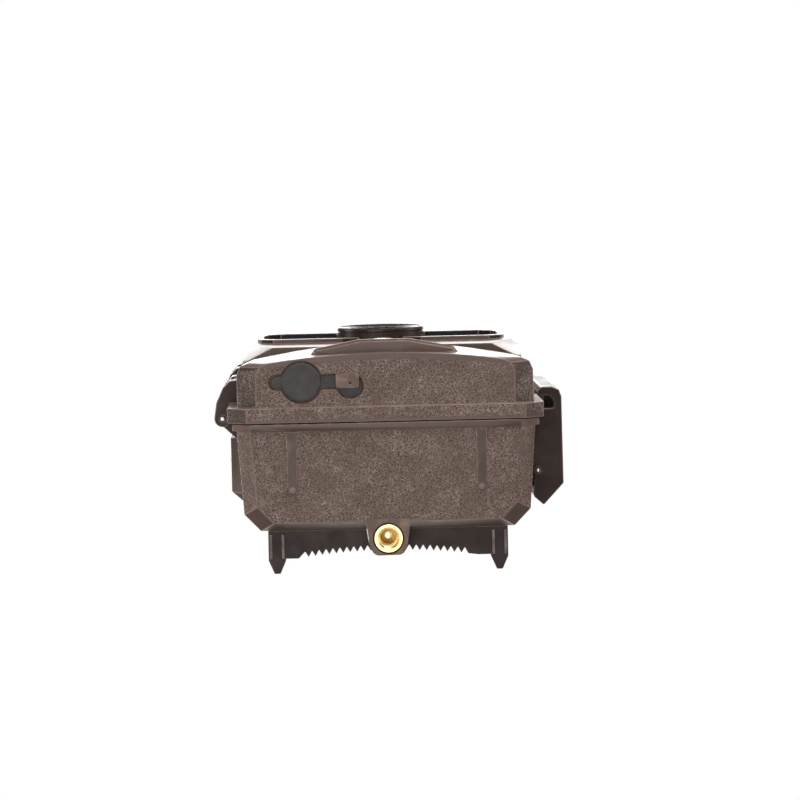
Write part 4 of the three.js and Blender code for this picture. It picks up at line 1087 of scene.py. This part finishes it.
def port_cover():
    """Disc, pull tab, bending strap and anchor, moulded in one piece of rubber."""
    low, high = limits("port_cover")
    disc_y = (low.y + high.y) / 2
    whole = cover_disc(place(COVER["disc_x"], disc_y, 0), (high.y - low.y) / 2)
    whole = combined(whole, cover_end(rounded(*COVER["tab"], 2.15), 0.75, 0.25), "UNION")
    whole = combined(whole, cover_strap(), "UNION")
    whole = combined(whole, cover_end(rounded(*COVER["anchor"], 3.6), COVER["strap_z"][0], 0.22), "UNION")
    for i in range(15):
        cut = place(COVER["first_cut"] + 0.2 * i, 0, 0)
        geometry = [*whole.verts, *whole.edges, *whole.faces]
        bmesh.ops.bisect_plane(whole, geom=geometry, plane_co=cut, plane_no=(1, 0, 0), dist=0.001 * MM)
    piece = meshed("port_cover_rubber", whole, ["rubber"], SHARP)
    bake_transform(piece)
    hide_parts("port_cover", "port_cover_anchor")


port_cover()


# ---------------------------------------------------------------- lens and sensors

def lens_bezel():
    """Satin ring with a rounded front lip, a fine groove and a stepped inside."""
    size = size_of("lens_bezel")
    outer, depth = size.x / 2, size.y
    inner = 12.7
    profile = [
        (inner, depth), (outer, depth), (outer, 1.9), (outer - 0.25, 1.7), (outer - 0.25, 1.4), (outer, 1.2),
        (outer, 0.5), (outer - 0.15, 0.15), (outer - 0.5, 0), (outer - 0.85, 0.1), (outer - 1.0, 0.4),
        (inner + 1.2, 1.0), (inner + 1.0, 1.3), (inner + 0.5, 1.35), (inner + 0.3, 1.7), (inner, 1.9),
    ]
    bm = bmesh.new()
    turned_ring(bm, profile, front_of("lens_bezel"), "y", 112)
    look("lens_bezel", bm, ["gloss_black"])


BARREL = {"back": 4.6, "shoulder": 6.5, "mouth": 10.6}
BARREL_STEPS = {"widest": 9.7, "narrowest": 5.4, "height": 0.78, "start": 2.1}


def lens_barrel():
    """The barrel behind the glass, with anti-glare steps."""
    size = size_of("lens_barrel")
    outer, depth = size.x / 2, size.y
    back, mouth, start = BARREL["back"], BARREL["mouth"], BARREL_STEPS["start"]
    profile = [(back, depth), (BARREL["shoulder"], depth), (outer, depth - 4), (outer, 0.2), (outer - 0.3, 0)]
    profile += [(mouth + 0.15, 0), (mouth, 0.25), (mouth, 2.0), (BARREL_STEPS["widest"], start)]
    run = (depth - 3.0 - start) / 9.6
    radius, along = BARREL_STEPS["widest"], start
    while radius > BARREL_STEPS["narrowest"]:
        along += run
        profile.append((radius, along))
        radius -= BARREL_STEPS["height"]
        profile.append((radius, along + 0.05))
    profile.append((back, along + 0.2))
    bm = bmesh.new()
    turned_ring(bm, profile, front_of("lens_barrel"), "y", 80)
    look("lens_barrel", bm, ["black_plastic"])


def domed_glass(node, rise, material):
    """A round glass whose front swells forward in the middle."""
    size = size_of(node)
    radius, depth = size.x / 2, size.y
    steps = 10
    dome = [(radius * i / steps, rise * (i / steps) ** 2) for i in range(steps)]
    profile = [*dome, (radius - 0.08, rise + 0.04), (radius, rise + 0.15), (radius, depth), (0, depth)]
    bm = bmesh.new()
    lathe(bm, profile, front_of(node), "y", 64)
    look(node, bm, [material])


def sliced(bm, axis, low, high, step):
    """Cuts a mesh into strips along one axis, in row-frame metres."""
    normal = Vector([i == axis for i in range(3)])
    for i in range(1, int((high - low) / step) + 1):
        geometry = [*bm.verts, *bm.edges, *bm.faces]
        cut = normal * (low + i * step)
        bmesh.ops.bisect_plane(bm, geom=geometry, plane_co=cut, plane_no=normal, dist=0.0005 * MM)


FILM = {"columns": 5, "rows": 3, "step": 0.3 * MM, "ring": 0.95 * MM, "depth": 0.16 * MM, "border": 0.2 * MM}


def motion_lens():
    """The film over the motion sensor: a grid of small ringed lenses pressed into it."""
    bm = node_bmesh("pir_lens")
    low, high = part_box("pir_lens")
    for axis in (0, 2):
        sliced(bm, axis, low[axis], high[axis], FILM["step"])
    bm.normal_update()
    columns, rows = FILM["columns"], FILM["rows"]
    cell_x = (high.x - low.x) / columns
    cell_z = (high.z - low.z) / rows
    for vertex in bm.verts:
        if vertex.normal.y > -0.85:
            continue
        column = min(columns - 1, int((vertex.co.x - low.x) / cell_x))
        row = min(rows - 1, int((vertex.co.z - low.z) / cell_z))
        dx = vertex.co.x - low.x - (column + 0.5) * cell_x
        dz = vertex.co.z - low.z - (row + 0.5) * cell_z
        tooth = (math.hypot(dx, dz) / FILM["ring"]) % 1.0
        border = min(cell_x / 2 - abs(dx), cell_z / 2 - abs(dz))
        vertex.co.y += FILM["depth"] * (tooth if border > FILM["border"] else 1.4)
    look("pir_lens", bm, ["fresnel"], math.radians(40))


def status_light():
    """A small domed lens."""
    size = size_of("status_led")
    radius, depth = size.x / 2, size.y
    turns = [math.pi / 16 * i for i in range(9)]
    dome = [(radius * 0.94 * math.sin(turn), radius * 0.9 * (1 - math.cos(turn))) for turn in turns]
    profile = [*dome, (radius, radius), (radius, depth), (0, depth)]
    bm = bmesh.new()
    lathe(bm, profile, front_of("status_led"), "y", 32)
    look("status_led", bm, ["green_lens"])


LAMPS = {"columns": (19.5, 25.5, 31.5, 37.5), "rows": (80, 88, 96, 104)}
LAMP = {"radius": 2.0, "rise": 1.25, "stem": 0.5}
LENS = {"z": 92, "room": 12.7}
BOARD_THICKNESS = 1.4


def infrared_lamps():
    """The lamp board with its reflectors and round lamps, seen dimly through the dark windows."""
    low, high = limits("ir_led_board")
    face = high.y - BOARD_THICKNESS
    board = bmesh.new()
    block(board, (low.x, high.x), (face, high.y), (low.z, high.z))
    hole = bmesh.new()
    lathe(hole, [(0, -5), (LENS["room"], -5), (LENS["room"], 5), (0, 5)], place(0, face, LENS["z"]), "y", 64)
    bm = combined(board, hole)
    radius, rise, stem = LAMP["radius"], LAMP["rise"], LAMP["stem"]
    turns = [math.pi / 12 * i for i in range(6)]
    dome = [(radius * math.cos(turn), -stem - rise * math.sin(turn), 1) for turn in turns]
    lamp = [(radius, 0.1, 1), *dome, (0, -stem - rise, 1)]
    reflector = [(2.15, 0.1), (2.75, 0.1), (2.75, -0.6), (2.15, -0.6)]
    for side in (-1, 1):
        for column in LAMPS["columns"]:
            for row in LAMPS["rows"]:
                at = place(side * column, face, row)
                lathe(bm, lamp, at, "y", 24)
                turned_ring(bm, reflector, at, "y", 24, 2)
    look("ir_led_board", bm, ["circuit_board", "lamp", "steel"])


def infrared_window(node):
    """A smoked plate whose front leans back towards the top."""
    bm = node_bmesh(node)
    low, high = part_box(node)
    lean = 1.4 * MM
    for vertex in bm.verts:
        if vertex.co.y < (low.y + high.y) / 2:
            vertex.co.y += lean * (vertex.co.z - low.z) / (high.z - low.z)
    soften(bm, 0.2)
    look(node, bm, ["smoked_acrylic"])


lens_bezel()
lens_barrel()
domed_glass("lens_cover_glass", 0.5, "cover_glass")
domed_glass("lens_element", 1.9, "clear_glass")
motion_lens()
status_light()
infrared_lamps()
infrared_window("ir_window_left")
infrared_window("ir_window_right")


# ---------------------------------------------------------------- batteries and contacts

CELL = {"columns": 4, "pitch": 15.2, "nub": 2.6, "seat": 5.4, "fold": 6.2, "band": 12}
STRIP = {"thickness": 0.8, "spring": (4.1, 2.1), "rise": 4.0, "stud": 2.6}


def battery(number):
    """A dry cell: sleeve folded over the ends, a bright band at the button, steel end plates."""
    node = f"battery_{number}"
    size = size_of(node)
    radius, full = size.x / 2, size.z
    length = full - CELL["nub"]
    seat, fold, bright = CELL["seat"], CELL["fold"], length - CELL["band"]
    wrap, end, band = range(3)
    profile = [
        (0, 0, end), (seat, 0, end), (seat + 0.3, 0.25, end), (fold - 0.1, 0.25, end), (fold, 0.12, wrap),
        (fold + 0.5, 0.15, wrap), (radius - 0.05, 0.5, wrap), (radius, 0.8, wrap),
        (radius, bright, wrap), (radius, length - 0.7, band), (radius - 0.12, length - 0.3, band),
        (radius - 0.5, length - 0.05, band), (fold - 0.1, length, band), (fold - 0.2, length - 0.35, end),
        (3.4, length - 0.35, end), (2.8, length + 0.1, end), (2.7, full - 0.5, end), (2.4, full - 0.1, end),
        (1.9, full, end), (0, full, end),
    ]
    if (number - 1) % CELL["columns"] % 2:
        kinds = [kind for _, _, kind in profile[1:]] + [end]
        profile = [(r, full - along, kind) for (r, along, _), kind in zip(profile, kinds)][::-1]
    bm = bmesh.new()
    lathe(bm, profile, foot_of(node), "z", 56)
    look(node, bm, ["cell_wrap", "nickel", "copper_band"])


def contact_strip(node, at_top):
    """A sprung steel strip: cone springs for the flat ends, pressed studs for the buttons."""
    low, high = limits(node)
    sign = -1 if at_top else 1
    back = high.z if at_top else low.z
    face = back + sign * STRIP["thickness"]
    bm = bmesh.new()
    block(bm, (low.x, high.x), (low.y, high.y), sorted((back, face)))
    soften(bm, 0.12)
    stud = [(STRIP["stud"], -0.1), (STRIP["stud"] - 0.2, 0.12), (1.4, 0.22), (0, 0.22)]
    for column in range(CELL["columns"]):
        x = (column - (CELL["columns"] - 1) / 2) * CELL["pitch"]
        at = place(x, (low.y + high.y) / 2, face)
        if (column % 2 == 0) != at_top:
            sweep(bm, helix(at, *STRIP["spring"], sign * 0.25, sign * STRIP["rise"], 4, 26), 0.3)
        else:
            lathe(bm, [(radius, sign * along) for radius, along in stud], at, "z", 28)
    look(node, bm, ["nickel"], math.radians(50))


for number in range(1, 9):
    battery(number)
for row in (1, 2):
    contact_strip(f"contact_strip_low_{row}", False)
    contact_strip(f"contact_strip_high_{row}", True)
refined("battery_tray", ["black_plastic"], 0.3)


# ---------------------------------------------------------------- control side

def framed(bm, outer, inner, low, high, material=0):
    """A flat frame between two outlines with the same number of points, drawn along y."""
    rings = []
    for outline, level in ((outer, low), (inner, low), (inner, high), (outer, high)):
        rings.append([bm.verts.new(place(a, level, b)) for a, b in outline])
    for ring, following in zip(rings, [*rings[1:], rings[0]]):
        bridge(bm, ring, following, material)


def grown(bounds, by):
    return (bounds[0] - by, bounds[1] + by)


def bordered(bm, x, z, radii, width, low, high, material=0):
    """A thin frame with round corners, inside these limits. The radii are the outer and the inner one."""
    outside = rounded(x, z, radii[0])
    inside = rounded(grown(x, -width), grown(z, -width), radii[1])
    framed(bm, outside, inside, low, high, material)


PANEL_Y = limits("inner_panel")[1].y
SUNK = PANEL_Y - 0.1  # where the trim starts, just inside the panel
SCREEN = ((-22, 22), (91, 125))
KEY_RING = (15.6, 14.6)  # outer and inner radius
CARD_BAY = ((8.6, 39.4), (11, 58.4))
DOTS = {"beside": 5.2, "first": 64.5, "pitch": 4, "radius": 0.7}


def panel_trim():
    """Raised frames round the screen, the keys and the card, and dots beside the mode switch."""
    bm = bmesh.new()
    bordered(bm, grown(SCREEN[0], 3.4), grown(SCREEN[1], 3.4), (3, 1), 2.7, SUNK, PANEL_Y + 0.55)
    keys = case_point(middle("button_ok"))
    turns = [2 * math.pi * i / 72 for i in range(72)]
    outer, inner = (
        [(keys.x + radius * math.cos(turn), keys.z + radius * math.sin(turn)) for turn in turns]
        for radius in KEY_RING
    )
    framed(bm, outer, inner, SUNK, PANEL_Y + 0.35)
    bordered(bm, *CARD_BAY, (2, 1.2), 1, SUNK, PANEL_Y + 0.35)
    soften(bm, 0.12)
    x = case_point(middle("power_switch")).x + DOTS["beside"]
    radius = DOTS["radius"]
    for i in range(3):
        at = place(x, PANEL_Y, DOTS["first"] + DOTS["pitch"] * i)
        lathe(bm, [(radius, -0.1, 1), (radius, 0.08, 1), (0, 0.08, 1)], at, "y", 20, 1)
    finished("panel_trim", bm, ["black_plastic", "mark"], "front_half", "black_plastic")


def key_mark(bm, name, at):
    """The sign on a key, slightly raised: arrows, bars, a ring or a dot."""
    x, top, z = at
    low, high = top - 0.2, top + 0.09
    arrows = {"up": (0, 1), "down": (0, -1), "left": (1, 0), "right": (-1, 0)}
    if name in arrows:
        dx, dz = arrows[name]
        tip = (x + 1.2 * dx, z + 1.2 * dz)
        wings = [(x - 0.7 * dx + 1.2 * dz * s, z - 0.7 * dz - 1.2 * dx * s) for s in (1, -1)]
        plate(bm, [tip, *wings], low, high, "y", 1)
    elif name == "menu":
        for offset in (-0.9, 0, 0.9):
            bar = rounded((x - 1.3, x + 1.3), (z + offset - 0.2, z + offset + 0.2), 0.15, 2)
            plate(bm, bar, low, high, "y", 1)
    elif name == "ok":
        turned_ring(bm, [(1.3, -0.2), (1.3, 0.09), (0.9, 0.09), (0.9, -0.2)], place(*at), "y", 28, 1)
    else:
        lathe(bm, [(1.0, -0.2), (1.0, 0.09), (0, 0.09)], place(*at), "y", 28, 1)


KEY = {"radius": 3.1, "foot": 3.9, "stem": 5.6, "depth": 6.6}


def key(name):
    """A key cap with a domed top and a collar that keeps it in the panel."""
    node = f"button_{name}"
    at = case_point(middle(node))
    at.y = limits(node)[1].y
    radius, foot, stem, depth = KEY.values()
    profile = [(0, 0), (radius - 1.2, -0.04), (radius - 0.6, -0.16), (radius - 0.2, -0.42), (radius, -0.85)]
    profile += [(radius, -stem), (foot, -stem), (foot, -depth), (0, -depth)]
    bm = bmesh.new()
    lathe(bm, profile, place(*at), "y", 48)
    key_mark(bm, name, at)
    look(node, bm, ["grey_button", "mark"])


def mode_switch():
    """The sliding knob with grip ridges."""
    bm = node_bmesh("power_switch")
    soften(bm, 0.25)
    low, high = limits("power_switch")
    x, z = (low.x + high.x) / 2, (low.z + high.z) / 2
    for i in range(4):
        ridge = z - 1.8 + 1.2 * i
        block(bm, (x - 1.7, x + 1.7), (high.y - 0.2, high.y + 0.3), (ridge - 0.25, ridge + 0.25))
    look("power_switch", bm, ["grey_button"])


TRUNKS = ((-16, 1.3), (-9, 0.8), (4, 1.0), (13, 1.6), (17.5, 0.7))


def display():
    """The glass, and under it a plain outdoor scene and signs without letters."""
    refined("display", ["screen"], 0.2)
    face = limits("display")[1].y
    (x0, x1), (z0, z1) = grown(SCREEN[0], -1), grown(SCREEN[1], -1)
    sky, hill, grass, trunk, sign = range(5)
    bm = bmesh.new()
    plate(bm, square((x0, x1), (z0, z1)), face - 0.05, face + 0.04, "y", sky)
    steps = 24
    across = [x1 - (x1 - x0) * i / steps for i in range(steps + 1)]
    hills = [(x, z0 + 12 + 3.2 * math.sin(i * 0.55) + 1.3 * math.sin(i * 1.3)) for i, x in enumerate(across)]
    meadow = [(x, z0 + 6 + 1.2 * math.sin(i * 0.4 + 2)) for i, x in enumerate(across)]
    plate(bm, [(x0, z0), (x1, z0), *hills], face, face + 0.07, "y", hill)
    plate(bm, [(x0, z0), (x1, z0), *meadow], face, face + 0.1, "y", grass)
    for x, width in TRUNKS:
        tip = width * 0.6
        outline = [(x - width, z0), (x + width, z0), (x + tip, z1), (x - tip, z1)]
        plate(bm, outline, face, face + 0.13, "y", trunk)
    over = face + 0.16
    bordered(bm, (13, 19), (z1 - 4, z1 - 1.4), (0.3, 0.2), 0.3, face, over, sign)
    for i in range(3):
        bar = rounded((13.7 + 1.6 * i, 14.9 + 1.6 * i), (z1 - 3.3, z1 - 2.1), 0.1, 2)
        plate(bm, bar, face, over, "y", sign)
        lathe(bm, [(0.5, 0), (0.5, 0.16), (0, 0.16)], place(-18.5 + 1.8 * i, face, z1 - 2.7), "y", 16, sign)
    materials = ["picture_sky", "picture_hill", "picture_grass", "picture_trunk", "mark"]
    finished("display_picture", bm, materials, "front_half", "screen")


def memory_card():
    """The card, with a blank label, finger ridges and gold contacts."""
    bm = node_bmesh("memory_card")
    soften(bm, 0.25)
    low, high = limits("memory_card")
    label = rounded((low.x + 2, high.x - 2), (low.z + 6, high.z - 6), 0.8)
    plate(bm, label, high.y - 0.1, high.y + 0.05, "y", 1)
    for i in range(4):
        z = low.z + 1.0 + 0.9 * i
        block(bm, (low.x + 4, high.x - 4), (high.y - 0.1, high.y + 0.18), (z, z + 0.4))
    for i in range(9):
        x = low.x + 2.6 + 2.15 * i
        block(bm, (x, x + 1.5), (low.y - 0.04, low.y + 0.1), (high.z - 6.2, high.z - 2.2), 2)
    look("memory_card", bm, ["card_plastic", "label", "gold"])


BOARD = {"thickness": 1.65, "shields": -30}


def paint_board(at, normal, area):
    """Green board with dark chips, and steel shields at its left."""
    if at.y < limits("main_board")[0].y + BOARD["thickness"]:
        return 0
    return 2 if at.x < BOARD["shields"] else 1


def card_socket():
    """Pressed steel cover with two spring windows and a stop."""
    bm = node_bmesh("card_socket")
    soften(bm, 0.3)
    low, high = limits("card_socket")
    sunk = high.y - 0.1
    for x in (low.x + 5, high.x - 9):
        bordered(bm, (x, x + 4), (high.z - 20, high.z - 8), (0.6, 0.4), 0.5, sunk, high.y + 0.14)
    block(bm, (low.x + 12, high.x - 12), (sunk, high.y + 0.2), (high.z - 5, high.z - 3))
    look("card_socket", bm, ["steel"])


def usb_tongue():
    """The contact tongue inside the data port."""
    low, high = limits("usb_port")
    z = (low.z + high.z) / 2
    bm = bmesh.new()
    block(bm, (low.x + 2, high.x - 2), (low.y + 2.5, high.y - 0.6), (z - 0.5, z + 0.4))
    for i in range(5):
        x = low.x + 2.5 + i
        block(bm, (x, x + 0.5), (low.y + 2.6, high.y - 0.9), (z - 0.58, z - 0.45), 1)
    finished("usb_tongue", bm, ["black_plastic", "gold"], "front_half", "steel")


panel_trim()
for name in ("up", "down", "left", "right", "ok", "menu", "shot"):
    key(name)
mode_switch()
display()
memory_card()
refined("main_board", ["circuit_board", "black_plastic", "steel"], 0, paint_board)
card_socket()
usb_tongue()
for node, material, width in (
    ("image_sensor", "circuit_board", 0.1), ("usb_port", "steel", 0.2), ("seam_gasket", "rubber", 0.3),
    ("inner_panel", "black_plastic", 0.25), ("speaker", "black_plastic", 0.2),
    ("dc_jack", "black_plastic", 0.2), ("pir_sensor", "steel", 0.15), ("microphone", "steel", 0.2),
):
    refined(node, [material], width)




# ---------------------------------------------------------------- floor, light and camera

def look_at(thing, target, up):
    """Turns a lamp or camera so that its -Z points at target with its +Y towards up."""
    back = (thing.location - target).normalized()
    right = up.cross(back).normalized()
    upward = back.cross(right)
    thing.rotation_mode = "QUATERNION"
    thing.rotation_quaternion = Matrix((right, upward, back)).transposed().to_quaternion()


FLOOR = {"half": 6, "level": -0.3 * MM, "glow": (0.15, 1.2)}  # glow: where it starts and is full


def floor():
    """A pale floor that can be seen only from above, since the main view looks up from below."""
    m = Nodes("studio_floor")
    tone = m.remap(m.noise(3), 0.3, 0.7)
    m.done(m.mix(tone, (0.9, 0.9, 0.9, 1), (0.94, 0.94, 0.94, 1)), 0.8)
    distance = m.node("ShaderNodeVectorMath", {0: m.place}, operation="LENGTH")
    m.shader.inputs["Emission Color"].default_value = (1, 1, 1, 1)
    m.feed(m.shader.inputs["Emission Strength"], m.remap(distance.outputs["Value"], *FLOOR["glow"]))
    behind = m.node("ShaderNodeNewGeometry").outputs["Backfacing"]
    see_through = m.node("ShaderNodeBsdfTransparent").outputs[0]
    blend = m.node("ShaderNodeMixShader", {0: behind, 1: m.shader.outputs[0], 2: see_through})
    m.feed(m.tree.nodes["Material Output"].inputs["Surface"], blend.outputs[0])
    bm = bmesh.new()
    bmesh.ops.create_grid(bm, x_segments=8, y_segments=8, size=FLOOR["half"])
    bmesh.ops.translate(bm, verts=bm.verts, vec=(0, 0, FLOOR["level"]))
    mesh = bpy.data.meshes.new("floor")
    bm.to_mesh(mesh)
    bm.free()
    mesh.materials.append(m.material)
    made = bpy.data.objects.new("floor", mesh)
    bpy.context.scene.collection.objects.link(made)
    made.visible_shadow = False
    made.visible_diffuse = False
    made.visible_glossy = False


def world():
    """White to the eye, and only a dim light on the object."""
    made = bpy.data.worlds.new("studio")
    made.use_nodes = True
    background = made.node_tree.nodes["Background"]
    path = made.node_tree.nodes.new("ShaderNodeLightPath")
    strength = made.node_tree.nodes.new("ShaderNodeMapRange")
    made.node_tree.links.new(path.outputs["Is Camera Ray"], strength.inputs["Value"])
    strength.inputs["To Min"].default_value = AMBIENT
    strength.inputs["To Max"].default_value = 1.0
    background.inputs["Color"].default_value = (1, 1, 1, 1)
    made.node_tree.links.new(strength.outputs["Result"], background.inputs["Strength"])
    bpy.context.scene.world = made


def softbox(name, at, size, power):
    """A rectangular lamp that looks at the middle of the object."""
    data = bpy.data.lights.new(name, "AREA")
    data.shape = "RECTANGLE"
    data.size, data.size_y = size
    data.energy = power
    made = bpy.data.objects.new(name, data)
    bpy.context.scene.collection.objects.link(made)
    made.location = at
    look_at(made, CENTRE, Vector((0, 1, 0.01)))


AMBIENT = 0.22
CENTRE = Vector((0, 0, middle("rear_shell").z))
CAMERA = {"at": (-0.0159, -0.09065, -0.9), "target": (0.0029, -0.01935, 0), "field": 16.9, "roll": 1.2}
SOFTBOXES = {
    "front_key": ((0.25, -1.3, -0.2), (0.9, 0.6), 13),
    "below": ((-0.25, 0.1, -1.2), (0.9, 0.9), 7),
    "left": ((-1.2, 0.1, 0.1), (0.5, 0.9), 5),
    "right": ((1.2, 0.0, 0.0), (0.5, 0.9), 3.5),
    "above": ((0.0, -0.3, 1.4), (1.6, 1.2), 34),
    "behind": ((0.1, 1.2, 0.7), (1.0, 0.6), 9),
}


def camera():
    """Directly below the camera's base, with the front towards the top of the picture."""
    data = bpy.data.cameras.new("photo_view")
    data.sensor_width = 36
    data.lens = data.sensor_width / 2 / math.tan(math.radians(CAMERA["field"]) / 2)
    data.clip_start = 0.01
    data.clip_end = 20
    made = bpy.data.objects.new("photo_view", data)
    bpy.context.scene.collection.objects.link(made)
    made.location = CAMERA["at"]
    roll = math.radians(CAMERA["roll"])
    look_at(made, Vector(CAMERA["target"]), Vector((math.sin(roll), -math.cos(roll), 0)))
    bpy.context.scene.camera = made


floor()
world()
camera()
for name, (at, size, power) in SOFTBOXES.items():
    softbox(name, at, size, power)

scene = bpy.context.scene
scene.view_settings.view_transform = "Standard"
scene.view_settings.look = "None"
